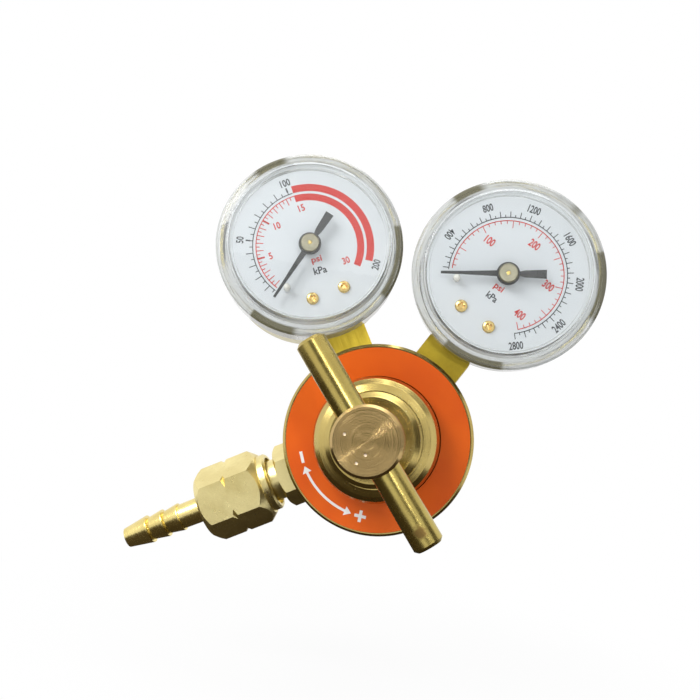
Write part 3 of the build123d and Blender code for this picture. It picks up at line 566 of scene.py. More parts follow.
@dataclass(frozen=True)
class Grained(Finish):
    """Steel or rubber with a fine grain."""

    tone: Tone
    roughness: float
    metallic: float = 1.0
    cloud_scale: float = 300.0
    grain_scale: float = 3000.0
    grain_detail: float = 3.0
    depth: float = 0.01 * MM

    def surface(self, shader: Shader) -> Socket:
        """Fill the tree with the grain."""
        cloud = shader.noise(shader.place(), self.cloud_scale, 2.0)
        grain = shader.noise(shader.place(), self.grain_scale, self.grain_detail)
        return shader.first("BsdfPrincipled", {
            "Base Color": self.tone.mix(shader, cloud), "Metallic": self.metallic,
            "Roughness": grain * 0.2 + (self.roughness - 0.1), "Normal": shader.bump(grain, self.depth),
        })


@dataclass(frozen=True)
class SinteredBronze(Finish):
    """Small bronze beads pressed together, with painted shade in the gaps between them."""

    # the shade colour is painted shade in the gaps between the beads
    tone: Tone = Tone((0.42, 0.27, 0.12), (0.10, 0.06, 0.03))
    bead: float = 0.25 * MM

    def surface(self, shader: Shader) -> Socket:
        """Fill the tree with the beads."""
        cells = shader.node("TexVoronoi", None, {"Vector": shader.place(), "Scale": 1.0 / self.bead})
        depth = Value(shader, cells.outputs["Distance"])
        # the Base Color below is painted shade: darker away from each bead's middle, in the gaps
        return shader.first("BsdfPrincipled", {
            "Base Color": self.tone.mix(shader, depth.step(0.3, 0.9)), "Metallic": 1.0,
            "Roughness": (depth * 0.3 + 0.4).clamped(), "Normal": shader.bump(1.0 - depth, self.bead * 0.5),
        })


@dataclass(frozen=True)
class DarkPaper(Finish):
    """Dull dark paper, for the cards of the stage."""

    colour: Colour = (0.07, 0.055, 0.035, 1.0)

    def surface(self, shader: Shader) -> Socket:
        """Fill the tree with the paper."""
        return shader.first("BsdfDiffuse", {"Color": self.colour})


@dataclass(frozen=True)
class PaleFloor(Finish):
    """A pale floor that keeps the object's shadow and whitens away from it."""

    colour: Colour = (0.93, 0.93, 0.93, 1.0)
    near: float = 0.05
    far: float = 0.17
    white_near: float = 0.92

    def surface(self, shader: Shader) -> Socket:
        """Fill the tree with the floor."""
        pale = shader.first("BsdfDiffuse", {"Color": self.colour})
        white = shader.first("Emission", {"Color": WHITE, "Strength": 1.0})
        away = shader.measure("LENGTH", shader.place()).step(self.near, self.far)
        share = shader.background_rays() * (away * (1.0 - self.white_near) + self.white_near)
        return shader.first("MixShader", {0: share, 1: pale, 2: white})


TURNED = Tone((0.58, 0.45, 0.155), (0.42, 0.30, 0.085))
PALE = Tone((0.92, 0.80, 0.42), (0.72, 0.59, 0.28))
TUMBLED = Tone((0.96, 0.83, 0.40), (0.58, 0.44, 0.13))
TAIL = Tone((0.90, 0.74, 0.30), (0.55, 0.41, 0.11))
STEM = Tone((0.55, 0.41, 0.045), (0.36, 0.26, 0.03))
BAR = Tone((0.54, 0.43, 0.13), (0.38, 0.27, 0.07))
HEAD = Tone((0.56, 0.40, 0.17), (0.44, 0.29, 0.11))
CASE = Tone((0.50, 0.43, 0.18), (0.36, 0.30, 0.13))
HUB = Tone((0.25, 0.235, 0.17), (0.19, 0.175, 0.12))
SCREW = Tone((0.80, 0.60, 0.24), (0.66, 0.46, 0.15))
TUBE = Tone((0.55, 0.36, 0.16), (0.40, 0.25, 0.10))
PLAIN_STEEL = Tone((0.62, 0.62, 0.60), (0.496, 0.496, 0.48))
SPRING_STEEL = Tone((0.48, 0.48, 0.47), (0.384, 0.384, 0.376))
RUBBER = Tone((0.02, 0.02, 0.02), (0.05, 0.05, 0.05))
ORANGE = Tone((0.78, 0.125, 0.004), (0.66, 0.085, 0.003))
RING_WHITE = Tone((0.86, 0.84, 0.82), (0.80, 0.78, 0.76))
DIAL_WHITE = Tone((0.76, 0.79, 0.82), (0.73, 0.765, 0.80))
RED_INK = Tone((0.62, 0.02, 0.012), (0.64, 0.032, 0.02))
BLACK_INK = Tone((0.025, 0.03, 0.035), (0.035, 0.04, 0.045))
NEEDLE_BLACK = Tone((0.018, 0.02, 0.02), (0.03, 0.032, 0.03))
IVORY = Tone((0.86, 0.85, 0.79), (0.76, 0.74, 0.66))


def turned_brass(name: str, axle: Axle, tilt: float = 0.11, roughness: float = 0.24,
                 tarnish: float = 0.35) -> Brass:
    """Lathe turned brass about one axis."""
    return Brass(name, TURNED, roughness, axle, Marks.RINGS, 0.09 * MM, tilt, tarnish=tarnish)


# meshes


def put(name: str, data: bpy.types.ID) -> Object:
    """Make an object of a mesh, curve, lamp or camera and link it to the scene.

    Args:
        name: the object's name.
        data: what it shows.

    Returns:
        The new object.
    """
    thing = bpy.data.objects.new(name, data)
    bpy.context.scene.collection.objects.link(thing)
    return thing


def shown_mesh(thing: Object) -> Mesh:
    """Copy the mesh of an object as it is shown, with its modifiers."""
    bpy.context.view_layer.update()
    return bpy.data.meshes.new_from_object(thing.evaluated_get(bpy.context.evaluated_depsgraph_get()))


def place_mesh(name: str, mesh: Mesh, body: str, material: Material,
               smooth: float = 35.0) -> Object:
    """Put a finished mesh into the scene.

    Args:
        name: the piece's name.
        mesh: its mesh, in the row's frame.
        body: the body it moves with.
        material: its material.
        smooth: edges that turn by less than this many degrees are shaded round.

    Returns:
        The new object.
    """
    mesh.name = name
    mesh.materials.clear()
    mesh.materials.append(material)
    piece = put(name, mesh)
    mesh.shade_smooth()
    mesh.set_sharp_from_angle(angle=radians(smooth))
    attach(piece, body)
    log.info("%s: %d faces on %s", name, len(mesh.polygons), body)
    return piece


def mesh_of(build: BMesh, matrix: Matrix | None = None) -> Mesh:
    """Turn a bmesh into a mesh.

    Args:
        build: the bmesh, which is used up.
        matrix: where it goes.

    Returns:
        The mesh.
    """
    if matrix is not None:
        bmesh.ops.transform(build, matrix=matrix, verts=build.verts)
    bmesh.ops.recalc_face_normals(build, faces=build.faces)
    mesh = bpy.data.meshes.new("mesh")
    build.to_mesh(mesh)
    build.free()
    return mesh


def skin(build: BMesh, rings: Sequence[Sequence[bmesh.types.BMVert]]) -> None:
    """Join rings of corners one after another and close the ends that aren't points.

    Args:
        build: the bmesh that has the corners.
        rings: the rings, each of the same count or a single point.
    """
    for first, second in zip(rings, rings[1:]):
        count = max(len(first), len(second))
        for k in range(count):
            after = (k + 1) % count
            corners = (first[k % len(first)], first[after % len(first)],
                       second[after % len(second)], second[k % len(second)])
            build.faces.new(list(dict.fromkeys(corners)))
    for end in (rings[0][::-1], rings[-1]):
        if len(end) > 2:
            build.faces.new(end)


def slab(build: BMesh, outline: Outline, low: float, high: float) -> None:
    """Add a thin closed plate with the given outline between two heights."""
    skin(build, [[build.verts.new((x, y, height)) for x, y in outline] for height in (low, high)])


def stroke(middle: Vector, way: Vector, half: float, thin: float) -> list[Vector]:
    """Corners of a straight stroke, by its middle, unit direction and half sizes."""
    reach, side = way * half, Vector((-way.y, way.x)) * thin
    return [middle - reach - side, middle + reach - side, middle + reach + side, middle - reach + side]


def clock(radius: float, angle: float) -> tuple[float, float]:
    """Point at an angle counted clockwise from twelve o'clock, in degrees."""
    return radius * sin(radians(angle)), radius * cos(radians(angle))


def band(build: BMesh, inner: float, outer: float, start: float, end: float,
         low: float, high: float) -> None:
    """Add a thin closed arc between two radii, clockwise angles and heights, as one ribbon of quads."""
    count = ceil((end - start) / ARC_STEP)
    skin(build, [
        [build.verts.new((*clock(radius, start + (end - start) * index / count), height))
         for radius, height in ((inner, low), (outer, low), (outer, high), (inner, high))]
        for index in range(count + 1)])


def lathe(profile: Outline, segments: int) -> BMesh:
    """Turn an outline of (radius, height) points that starts and ends on the axis.

    Args:
        profile: the outline, from the bottom to the top.
        segments: how many sides the round has.

    Returns:
        A closed bmesh.
    """
    build = bmesh.new()
    turns = [2.0 * pi * k / segments for k in range(segments)]
    skin(build, [
        [build.verts.new((radius * cos(turn), radius * sin(turn), height))
         for turn in (turns if radius else turns[:1])]
        for radius, height in profile])
    return build


def carve(mesh: Mesh, cutter: Mesh) -> Mesh:
    """Cut one closed mesh out of another.

    Args:
        mesh: what is cut.
        cutter: what is taken away.

    Returns:
        The cut mesh.
    """
    whole, tool = put("whole", mesh), put("tool", cutter)
    cut = whole.modifiers.new("cut", "BOOLEAN")
    cut.operation = "DIFFERENCE"
    cut.object = tool
    cut.solver = "EXACT"
    result = shown_mesh(whole)
    for thing in (whole, tool):
        bpy.data.objects.remove(thing)
    return result


def letters(text: str, height: float, width: float, thick: float) -> Mesh:
    """Make flat raised figures, centred on the origin.

    Args:
        text: what they read.
        height: height of a capital.
        width: how wide the whole is.
        thick: how far they stand up.

    Returns:
        Their mesh.
    """
    curve = bpy.data.curves.new("figures", "FONT")
    curve.body = text
    curve.align_x = "CENTER"
    curve.align_y = "CENTER"
    curve.offset = STROKE_WEIGHT
    curve.extrude = 0.5
    curve.resolution_u = 3
    thing = put("figures", curve)
    mesh = shown_mesh(thing)
    bpy.data.objects.remove(thing)
    xs, ys = ([vertex.co[axis] for vertex in mesh.vertices] for axis in (0, 1))
    middle = Matrix.Translation((-(max(xs) + min(xs)) / 2, -(max(ys) + min(ys)) / 2, 0.5))
    size = Matrix.Diagonal((width / (max(xs) - min(xs)), height / (max(ys) - min(ys)), thick, 1.0))
    mesh.transform(size @ middle)
    return mesh


def dress(node: str, material: Material) -> None:
    """Give a carried-over piece its finish.

    Args:
        node: the piece's name.
        material: its material.
    """
    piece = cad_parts[node]
    for place in piece.material_slots:
        place.material = material
    if not piece.material_slots:
        piece.data.materials.append(material)
    log.info("%s: dressed in %s", node, material.name)


# the dials' print


@dataclass(frozen=True)
class Figure:
    """A number or unit on a dial: where it stands, how large it is and how it is turned."""

    text: str
    ink: Ink
    x: float
    y: float
    height: float
    width: float
    turned: float = 0.0


def ring_figure(text: str, ink: Ink, radius: float, angle: float, height: float, width: float) -> Figure:
    """A number on the dial's round, the right way up for a reader below."""
    turned = -angle if abs(angle) < 90 else 180 - angle
    return Figure(text, ink, *clock(radius, angle), height, width, turned)


@dataclass(frozen=True)
class Ticks:
    """A row of marks along one scale."""

    ink: Ink
    start: float
    step: float
    count: int
    foot: float
    short: float
    long: float
    every: int
    offset: int = 0
    width: float = 0.23

    def add(self, build: BMesh, low: float, high: float) -> None:
        """Add the marks as thin plates.

        Args:
            build: the bmesh that takes them.
            low: height of their undersides, in metres.
            high: height of their tops, in metres.
        """
        for index in range(self.count):
            tip = self.short if (index + self.offset) % self.every else self.long
            way = Vector(clock(1.0, self.start + self.step * index))
            middle, half = way * ((self.foot + tip) / 2 * MM), abs(tip - self.foot) / 2 * MM
            slab(build, stroke(middle, way, half, self.width / 2 * MM), low, high)


@dataclass
class Scale:
    """All that is printed on one dial, in millimetres."""

    arcs: list[tuple[Ink, float, float, float, float]]
    ticks: list[Ticks]
    figures: list[Figure]


KPA_TO_PSI = 0.1450377
ARC_W = 0.25


def low_scale() -> Scale:
    """Print of the low pressure dial, in degrees clockwise from the top."""
    zero, psi = -127.5, 8.7
    kpa = KPA_TO_PSI * psi
    start, bands = -122.4, 3.6
    black, red = 16.15, 15.2
    step, outer_end = 5.0 * kpa, zero + 200.0 * kpa
    arcs = [
        (Ink.BLACK, black, black + ARC_W, start, bands - 0.6),
        (Ink.RED, red, red + ARC_W, start + 0.4, bands),
        (Ink.RED, 16.25, 18.35, bands, outer_end),
        (Ink.RED, 13.5, 15.5, bands, zero + 30.0 * psi),
    ]
    ticks = [
        Ticks(Ink.BLACK, zero + step, step, 20, black, 17.2, 18.3, 2, 1),
        Ticks(Ink.BLACK, zero + 10 * step, 10 * step, 2, 17.0, 18.3, 18.3, 1, width=0.42),
        Ticks(Ink.RED, zero + psi, psi / 2, 28, red + ARC_W, 14.3, 13.25, 2),
        Ticks(Ink.RED, zero + 5 * psi, 5 * psi, 2, red + ARC_W, 13.25, 13.25, 1, width=0.5),
    ]
    figures = [
        ring_figure("50", Ink.BLACK, 19.95, zero + 10 * step, 2.15, 1.95),
        ring_figure("100", Ink.BLACK, 19.85, zero + 100.0 * kpa + 1.0, 2.15, 2.9),
        ring_figure("200", Ink.BLACK, 19.6, outer_end + 2.0, 2.1, 3.0),
        Figure("5", Ink.RED, -11.5, 1.15, 2.0, 1.0),
        Figure("10", Ink.RED, -6.65, 8.8, 2.05, 1.85),
        Figure("15", Ink.RED, 1.7, 11.3, 2.05, 1.85),
        Figure("30", Ink.RED, 8.1, -7.55, 2.05, 2.1),
        Figure("psi", Ink.RED, 0.35, -4.5, 2.3, 3.0, -5.0),
        Figure("kPa", Ink.BLACK, 0.2, -7.65, 2.1, 3.8, -7.0),
    ]
    return Scale(arcs, ticks, figures)


def high_scale() -> Scale:
    """Print of the high pressure dial, in degrees clockwise from the top."""
    zero, kpa = -129.3, 0.0946
    psi = kpa / KPA_TO_PSI
    start, black, red = -121.5, 16.2, 15.25
    arcs = [
        (Ink.BLACK, black, black + ARC_W, start, zero + 2800.0 * kpa),
        (Ink.RED, red, red + ARC_W, start + 1.5, zero + 400.0 * psi),
    ]
    ticks = [
        Ticks(Ink.BLACK, zero + 100.0 * kpa, 50.0 * kpa, 55, black, 17.05, 18.0, 2),
        Ticks(Ink.RED, zero + 20.0 * psi, 10.0 * psi, 39, red + ARC_W, 14.45, 13.3, 5, 2, width=0.2),
    ]
    widths = {400: 3.0, 800: 2.9, 1200: 3.5, 1600: 3.6, 2000: 3.7, 2400: 3.8, 2800: 3.9}
    figures = [
        ring_figure(str(reading), Ink.BLACK, 19.75, zero + reading * kpa, 2.2, width)
        for reading, width in widths.items()]
    figures += [
        Figure("100", Ink.RED, -9.75, 4.7, 2.3, 2.9),
        Figure("200", Ink.RED, 0.6, 11.3, 2.3, 3.1),
        Figure("300", Ink.RED, 10.6, 4.45, 2.3, 3.1),
        Figure("400", Ink.RED, 9.3, -6.6, 2.3, 3.1),
        Figure("psi", Ink.RED, 0.3, -4.4, 2.3, 2.75),
        Figure("kPa", Ink.BLACK, 0.4, -7.4, 1.95, 3.3),
    ]
    return Scale(arcs, ticks, figures)


# sub-assemblies


@dataclass
class Gauge:
    """One gauge: its case, cover, dial with print, needle and movement."""

    dial: Dial
    scale: Scale
    face: float = 12.5 * MM
    print_gap: float = 0.015 * MM
    print_thick: float = 0.03 * MM
    screw_x: float = 4.75 * MM
    screw_y: float = -14.6 * MM
    screw_r: float = 1.75 * MM
    screw_high: float = 0.95 * MM
    needle_top: float = 15.3 * MM
    needle_thick: float = 0.4 * MM
    needle_rest: float = -126.3
    needle_disc: float = 3.2 * MM
    arm: Outline = ((0.8, 3.1), (0.45, 12.0), (0.34, 18.4))
    tail: Outline = ((0.6, 3.15), (0.95, 4.6), (1.22, 10.4))
    pin_out: float = 14.0 * MM
    pin_beside: float = 1.37 * MM
    pin_r: float = 0.95 * MM

    def named(self, kind: str) -> str:
        """Name of one of this gauge's own finishes."""
        return f"{kind}_{self.dial.side.value}"

    def build(self) -> None:
        """Make and dress every piece of the gauge."""
        axle, stem = self.dial.axle(), self.dial.stem()
        finishes: dict[str, Finish] = {
            "socket": Brass(self.named("stem_brass"), STEM, 0.42, stem, Marks.LINES, 0.35 * MM, 0.06,
                            tarnish=0.5),
            "case": Brass(self.named("case_brass"), CASE, 0.22, axle, Marks.RINGS, 0.12 * MM, 0.04,
                          tarnish=0.3),
            "dial": Enamel(self.named("dial_enamel"), DIAL_WHITE, 0.45),
            "lens": ClearPlastic(self.named("clear_cover"), axle),
            "pointer_hub": Brass(self.named("hub_brass"), HUB, 0.36, axle, Marks.RINGS, 0.07 * MM, 0.12),
            "arbor": turned_brass(self.named("arbor_brass"), axle),
            "sector_gear": Brass(self.named("sector_brass"), PALE, 0.3, axle, grain=0.01 * MM),
            "link": Brass(self.named("link_brass"), PALE, 0.3, stem, Marks.LINES, 0.2 * MM, 0.05),
            "movement_frame": Brass(self.named("frame_brass"), PALE, 0.3, stem, Marks.LINES, 0.25 * MM, 0.05),
            "bourdon_tube": Brass(self.named("tube_bronze"), TUBE, 0.3, axle, Marks.RINGS, 0.2 * MM, 0.04),
        }
        for piece, finish in finishes.items():
            dress(self.dial.node(piece), finish.build())
        self.print_dial()
        self.screws()
        self.needle()
        self.stop_pin()

    def print_dial(self) -> None:
        """Print both inks onto the dial."""
        low = self.face + self.print_gap
        high = low + self.print_thick
        for ink, tone in ((Ink.BLACK, BLACK_INK), (Ink.RED, RED_INK)):
            build = bmesh.new()
            for colour, inner, outer, start, end in self.scale.arcs:
                if colour is ink:
                    band(build, inner * MM, outer * MM, start, end, low, high)
            for row in self.scale.ticks:
                if row.ink is ink:
                    row.add(build, low, high)
            for figure in self.scale.figures:
                if figure.ink is ink:
                    self.add_figure(build, figure, low)
            paint = Enamel(self.named(f"{ink.value}_ink"), tone, 0.5).build()
            mesh = mesh_of(build, self.dial.matrix())
            place_mesh(self.dial.node(f"print_{ink.value}"), mesh, "body", paint)

    def add_figure(self, build: BMesh, figure: Figure, low: float) -> None:
        """Add one number or unit.

        Args:
            build: the bmesh that takes it.
            figure: what it reads and where it stands.
            low: height of its underside.
        """
        mesh = letters(figure.text, figure.height * MM, figure.width * MM, self.print_thick)
        turn = Matrix.Rotation(radians(figure.turned), 4, "Z")
        mesh.transform(Matrix.Translation((figure.x * MM, figure.y * MM, low)) @ turn)
        build.from_mesh(mesh)
        bpy.data.meshes.remove(mesh)

    def screws(self) -> None:
        """Make the two screws that hold the dial, with rounded heads and cross recesses."""
        brass = Brass(self.named("screw_brass"), SCREW, 0.2, self.dial.axle(), grain=0.006 * MM,
                      tarnish=0.2).build()
        for letter, across, turned in (("a", -self.screw_x, 28.0), ("b", self.screw_x, 64.0)):
            head = carve(mesh_of(self.screw_head()), mesh_of(self.cross_tool(turned)))
            head.transform(self.dial.matrix() @ Matrix.Translation((across, self.screw_y, self.face)))
            piece = place_mesh(self.dial.node(f"screw_{letter}"), head, "body", brass, 40.0)
            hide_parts(self.dial.node(f"dial_screw_{letter}"))

    def needle(self) -> None:
        """Cut the needle: a slim arm, a round middle and a tail that widens to its end."""
        outline = [(x * MM, y * MM) for x, y in self.arm[::-1]]
        outline += [clock(self.needle_disc, angle) for angle in range(25, 165, 10)]
        outline += [(x * MM, -y * MM) for x, y in self.tail]
        outline += [(-x, y) for x, y in reversed(outline)]
        build = bmesh.new()
        slab(build, outline[::-1], self.needle_top - self.needle_thick, self.needle_top)
        rest = Matrix.Rotation(radians(-self.needle_rest), 4, "Z")
        paint = Enamel(self.named("needle_black"), NEEDLE_BLACK, 0.4)
        piece = place_mesh(self.dial.node("needle"), mesh_of(build, self.dial.matrix() @ rest),
                           f"{self.dial.side.value}_needle", paint.build())
        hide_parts(self.dial.node("pointer"))

    def stop_pin(self) -> None:
        """Turn the round-headed pin that the needle rests against."""
        r, shank = self.pin_r, 0.6 * MM
        foot, collar, top = self.face - 0.5 * MM, self.face + 0.05 * MM, self.needle_top + 0.5 * MM
        rounds = [(r * cos(radians(a)), top - r * 0.7 * (1.0 - sin(radians(a)))) for a in range(0, 90, 15)]
        profile = [(0.0, foot), (shank, foot), (shank, collar), (r, collar), *rounds, (0.0, top)]
        head = mesh_of(lathe(profile, 32))
        beside = self.needle_rest - degrees(atan2(self.pin_beside, self.pin_out))
        head.transform(self.dial.matrix() @ Matrix.Translation((*clock(self.pin_out, beside), 0.0)))
        ivory = Enamel(self.named("pin_ivory"), IVORY, 0.25, 0.5)
        piece = place_mesh(self.dial.node("rest_pin"), head, "body", ivory.build(), 50.0)
        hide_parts(self.dial.node("stop_pin"))

    def screw_head(self) -> BMesh:
        """Turn a shank with a low domed head.

        Returns:
            The closed form.
        """
        r, shank = self.screw_r, 1.0 * MM
        foot, under, rim, top = -5.0 * MM, 0.05 * MM, 0.3 * MM, self.screw_high
        rounds = [(r * cos(radians(a)), rim + (top - rim) * sin(radians(a))) for a in range(10, 90, 10)]
        return lathe([(0.0, foot), (shank, foot), (shank, under), (r - 0.1 * MM, under), (r, 0.15 * MM),
                      *rounds, (0.0, top)], 48)

    def cross_tool(self, turned: float) -> BMesh:
        """Make the tapered cross that is pressed into a head.

        Args:
            turned: how it is turned, in degrees.

        Returns:
            The closed form.
        """
        build = bmesh.new()
        turn = Matrix.Rotation(radians(turned), 4, "Z")
        rings = []
        point, mouth = (0.6 * MM, 0.2 * MM, 0.15 * MM), (1.15 * MM, 0.42 * MM, self.screw_high * 1.2)
        for arm, thin, height in (point, mouth):
            corners = [(arm, -thin), (arm, thin), (thin, thin), (thin, arm), (-thin, arm), (-thin, thin)]
            corners += [(-x, -y) for x, y in corners]
            rings.append([build.verts.new(turn @ Vector((x, y, height))) for x, y in corners])
        skin(build, rings)
        return build


@dataclass
class ControlScrew:
    """The adjusting screw with its cross bar."""

    head_front: float = -97.0 * MM
    bar_r: float = 3.9 * MM
    stain_along: float = -24.3 * MM

    def build(self) -> None:
        """Dress the screw and the bar."""
        pits = tuple((x * MM, self.head_front, z * MM) for x, z in ((-5.4, 1.0), (0.2, -3.1), (-1.6, -5.3)))
        head = Brass("head_brass", HEAD, 0.2, BODY_AXLE, Marks.RINGS, 0.009 * MM, 0.3, tarnish=0.25,
                     pits=pits)
        dress("adjusting_screw", head.build())
        along = around_body(BAR_ANGLE) * self.stain_along
        stain = (along.x, BAR_Y - self.bar_r, along.z)
        bar = Brass("bar_brass", BAR, 0.26, BAR_AXLE, Marks.RINGS, 0.05 * MM, 0.035, stain_at=stain)
        dress("t_bar", bar.build())


@dataclass
class CoilSpring:
    """A wire spring on the body's axis, wound to fill the box of its part."""

    node: str
    wire_r: float
    turns: float
    joint: str
    stroke: float
    fixed_end: float
    sides: int = 14

    def build(self, material: Material) -> None:
        """Wind the spring.

        Args:
            material: its steel.
        """
        low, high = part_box(self.node)
        mean_r = (high[0] - low[0]) / 2.0 - self.wire_r
        first, last = low[1] + self.wire_r, high[1] - self.wire_r
        rise = (last - first) / (2.0 * pi * self.turns * mean_r)
        steps = ceil(self.turns * 48)
        build = bmesh.new()
        rings = []
        for k in range(steps + 1):
            angle = 2.0 * pi * self.turns * k / steps
            out = Vector((cos(angle), 0.0, -sin(angle)))
            up = Vector((sin(angle) * rise, 1.0, cos(angle) * rise)).normalized()
            centre = out * mean_r + Vector((0.0, first + (last - first) * k / steps, 0.0))
            rings.append([build.verts.new(centre + (out * cos(a) + up * sin(a)) * self.wire_r)
                          for a in (2.0 * pi * side / self.sides for side in range(self.sides))])
        skin(build, rings)
        piece = place_mesh(self.node + "_coil", mesh_of(build), "body", material, 40.0)
        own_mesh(piece)
        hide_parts(self.node)


@dataclass
class Housing:
    """The body, bonnet, ring and the pieces inside them."""

    ring_inner: float = 17.9 * MM
    ring_outer: float = 24.9 * MM
    ring_front: float = -62.0 * MM
    arc_from: float = 196.0
    arc_to: float = 236.0

    def build(self) -> None:
        """Dress the housing and print the turning mark."""
        body = turned_brass("body_brass", BODY_AXLE, 0.07, tarnish=0.4).build()
        plain = Grained("plain_steel", PLAIN_STEEL, 0.35).build()
        spring = Grained("spring_steel", SPRING_STEEL, 0.3).build()
        for node in ("regulator_body", "seat_nozzle"):
            dress(node, body)
        for node in ("diaphragm_plate", "spring_button", "poppet_valve"):
            dress(node, plain)
        dress("bonnet", turned_brass("bonnet_brass", BODY_AXLE, 0.1, 0.25).build())
        dress("label_ring", Enamel("ring_print", ORANGE, 0.36, 0.0, 0.25).build())
        rubber = Grained("diaphragm_rubber", RUBBER, 0.7, 0.0, 2000.0, 2000.0, 2.0, 0.05 * MM)
        dress("diaphragm", rubber.build())
        CoilSpring("main_spring", 0.8 * MM, 3.0, "button_slide", 3.0 * MM, -59.4 * MM).build(spring)
        CoilSpring("poppet_spring", 0.35 * MM, 5.0, "valve_lift", 1.0 * MM, -36.9 * MM).build(spring)
        self.turning_mark()

    def turning_mark(self) -> None:
        """Print a plain plus, minus and arc on the ring, in white."""
        build = bmesh.new()
        low, high = 0.01 * MM, 0.04 * MM
        middle = (self.ring_inner + self.ring_outer) / 2
        band(build, middle - 0.35 * MM, middle + 0.35 * MM, self.arc_from, self.arc_to, low, high)
        for angle, way in ((self.arc_from, -1.0), (self.arc_to, 1.0)):
            barbs = [clock(middle + way * reach, angle) for reach in (-1.3 * MM, 1.3 * MM)]
            slab(build, [clock(middle, angle + way * 5.0), *barbs], low, high)
        for angle, count in ((self.arc_to + 12.0, 1), (self.arc_from - 12.0, 2)):
            out = Vector(clock(1.0, angle))
            for index, way in enumerate((Vector((out.y, -out.x)), out)[:count]):
                lift = index * 0.004 * MM
                slab(build, stroke(out * middle, way, 1.6 * MM, 0.42 * MM), low + lift, high + lift)
        turn = Matrix((Vector((1, 0, 0)), Vector((0, 0, 1)), Vector((0, -1, 0)))).transposed().to_4x4()
        mesh = mesh_of(build, Matrix.Translation((0.0, self.ring_front, 0.0)) @ turn)
        place_mesh("ring_mark", mesh, "body", Enamel("ring_white", RING_WHITE, 0.45).build())


@dataclass
class Inlet:
    """The nipple, its filter and the nut for the cylinder valve."""

    pitch: float = 1.411 * MM
    thread_r: float = 10.7 * MM

    def build(self) -> None:
        """Dress the inlet's pieces."""
        nut = Brass("nut_brass", PALE, 0.33, BODY_AXLE, grain=0.018 * MM, thread_pitch=self.pitch,
                    thread_inside=self.thread_r)
        dress("inlet_nut", nut.build())
        dress("inlet_nipple", turned_brass("nipple_brass", BODY_AXLE, 0.08).build())
        dress("inlet_filter", SinteredBronze("filter_bronze").build())


@dataclass
class Outlet:
    """The adaptor, the notched nut and the barbed hose tail."""

    def build(self) -> None:
        """Dress the outlet's pieces."""
        dress("outlet_adaptor", Brass("adaptor_brass", TUMBLED, 0.34, OUTLET_AXLE, grain=0.03 * MM,
                                      grain_scale=1500.0).build())
        dress("outlet_nut", Brass("hose_nut_brass", TUMBLED, 0.32, OUTLET_AXLE, grain=0.06 * MM,
                                  grain_scale=1300.0).build())
        dress("hose_barb", Brass("tail_brass", TAIL, 0.26, OUTLET_AXLE, Marks.RINGS, 0.1 * MM, 0.07).build())


def plate(name: str, finish: Finish, matrix: Matrix, wide: float, high: float) -> Object:
    """Put up one flat sheet that isn't part of the object.

    Args:
        name: its name.
        finish: its finish.
        matrix: where it is.
        wide: its width.
        high: its height.

    Returns:
        The new object.
    """
    build = bmesh.new()
    corners = stroke(Vector((0.0, 0.0)), Vector((1.0, 0.0)), wide / 2, high / 2)
    build.faces.new([build.verts.new((x, y, 0.0)) for x, y in corners])
    mesh = bpy.data.meshes.new(name)
    build.to_mesh(mesh)
    build.free()
    mesh.transform(matrix)
    mesh.materials.append(finish.build())
    sheet = put(name, mesh)
    return sheet


@dataclass(frozen=True)
class Aimed:
    """A flat thing of the stage that faces a point, in metres."""

    name: str
    place: Point
    target: Point
    wide: float
    high: float

    def matrix(self, front: str) -> Matrix:
        """Where it is, with its front axis towards its target."""
        way = Vector(self.target) - Vector(self.place)
        return Matrix.Translation(self.place) @ way.to_track_quat(front, "Y").to_matrix().to_4x4()


@dataclass(frozen=True)
class Lamp(Aimed):
    """A soft box."""

    power: float

    def hang(self) -> None:
        """Put the lamp up."""
        lamp = bpy.data.lights.new(self.name, "AREA")
        lamp.shape = "RECTANGLE"
        lamp.size = self.wide
        lamp.size_y = self.high
        lamp.energy = self.power
        put(self.name, lamp).matrix_world = self.matrix("-Z")


@dataclass(frozen=True)
class Card(Aimed):
    """A dark card that only the metal's reflections show."""

    def hang(self) -> None:
        """Put the card up."""
        paper = DarkPaper(self.name + "_paper")
        sheet = plate(self.name, paper, self.matrix("Z"), self.wide, self.high)
        sheet.visible_camera = False
        sheet.visible_diffuse = False
        sheet.visible_transmission = False
        sheet.visible_shadow = False


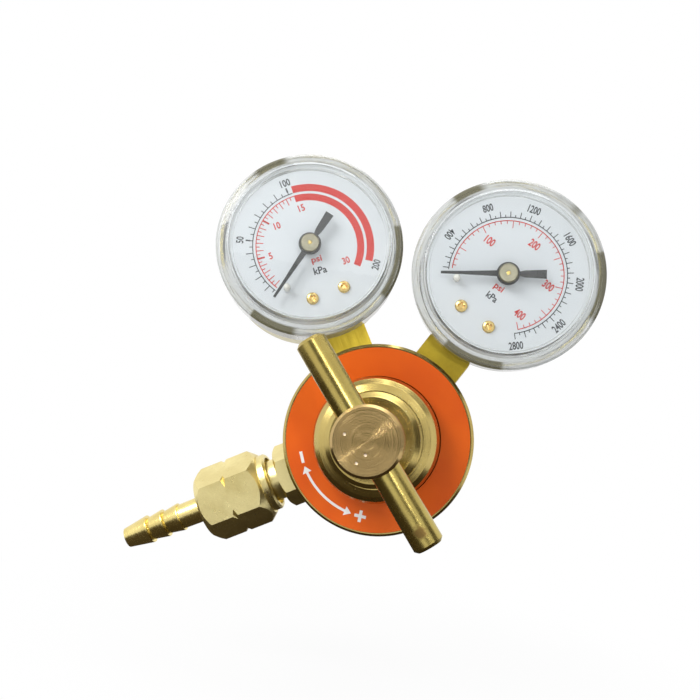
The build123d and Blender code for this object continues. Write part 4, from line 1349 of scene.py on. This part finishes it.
@dataclass
class Studio:
    """The floor, the lights, the dark cards, the world and the camera."""

    floor_low: float = 0.03
    floor_size: float = 6.0
    camera_place: Point = (0.0158, -0.2962, 0.0063)
    camera_turn: Point = (94.1687, -8.6124, 5.926)
    sensor: float = 36.0
    camera_lens: float = 850.0 * 36.0 / 700.0
    ambient: float = 0.34
    hung: tuple[Lamp | Card, ...] = (
        Lamp("key_light", (-0.36, -0.44, 0.32), (0.0, -0.06, 0.02), 0.30, 0.30, 2.35),
        Lamp("spark_light", (0.275, -1.0, 0.32), (0.0, -0.06, 0.0), 0.1, 0.1, 1.3),
        Lamp("top_light", (0.05, 0.0, 0.95), (0.0, -0.05, 0.0), 0.8, 0.5, 3.0),
        Card("under_card", (-0.02, -0.03, -0.0705), (-0.02, -0.03, 0.0), 0.36, 0.34),
        Card("room_card", (0.12, -1.1, -0.05), (0.0, 0.0, 0.0), 1.0, 0.9),
        Card("side_card", (0.45, -0.25, 0.0), (0.0, -0.06, 0.0), 0.35, 0.7),
    )

    def build(self) -> None:
        """Set up everything that isn't the object."""
        under = Matrix.Translation((0.0, 0.0, cad_bounds[0][2] - self.floor_low))
        plate("floor", PaleFloor("floor_pale"), under, self.floor_size, self.floor_size)
        self.world()
        for thing in self.hung:
            thing.hang()
        self.camera()
        bpy.context.scene.view_settings.view_transform = "Standard"

    def world(self) -> None:
        """White behind the object and in its metal, and softer as a light."""
        world = bpy.data.worlds.new("studio")
        bpy.context.scene.world = world
        world.use_nodes = True
        shader = Shader(world.node_tree)
        strength = shader.background_rays() * (1.0 - self.ambient) + self.ambient
        sky = shader.first("Background", {"Color": WHITE, "Strength": strength})
        shader.node("OutputWorld", None, {"Surface": sky})

    def camera(self) -> None:
        """Set the camera at the photograph's viewing angle."""
        lens = bpy.data.cameras.new("camera")
        lens.sensor_width = self.sensor
        lens.lens = self.camera_lens
        lens.clip_start = 0.01
        thing = put("camera", lens)
        thing.location = self.camera_place
        thing.rotation_euler = [radians(angle) for angle in self.camera_turn]
        bpy.context.scene.camera = thing


def main() -> None:
    """Build and dress the regulator, one sub-assembly after another."""
    logging.basicConfig(level=logging.INFO, format="%(name)s %(message)s")
    parts: list[Any] = [
        Studio(), Housing(), ControlScrew(), Inlet(), Outlet(),
        Gauge(LEFT_DIAL, low_scale()), Gauge(RIGHT_DIAL, high_scale()),
    ]
    for part in parts:
        part.build()
        log.info("%s done", type(part).__name__)


if __name__ == "__main__":
    main()
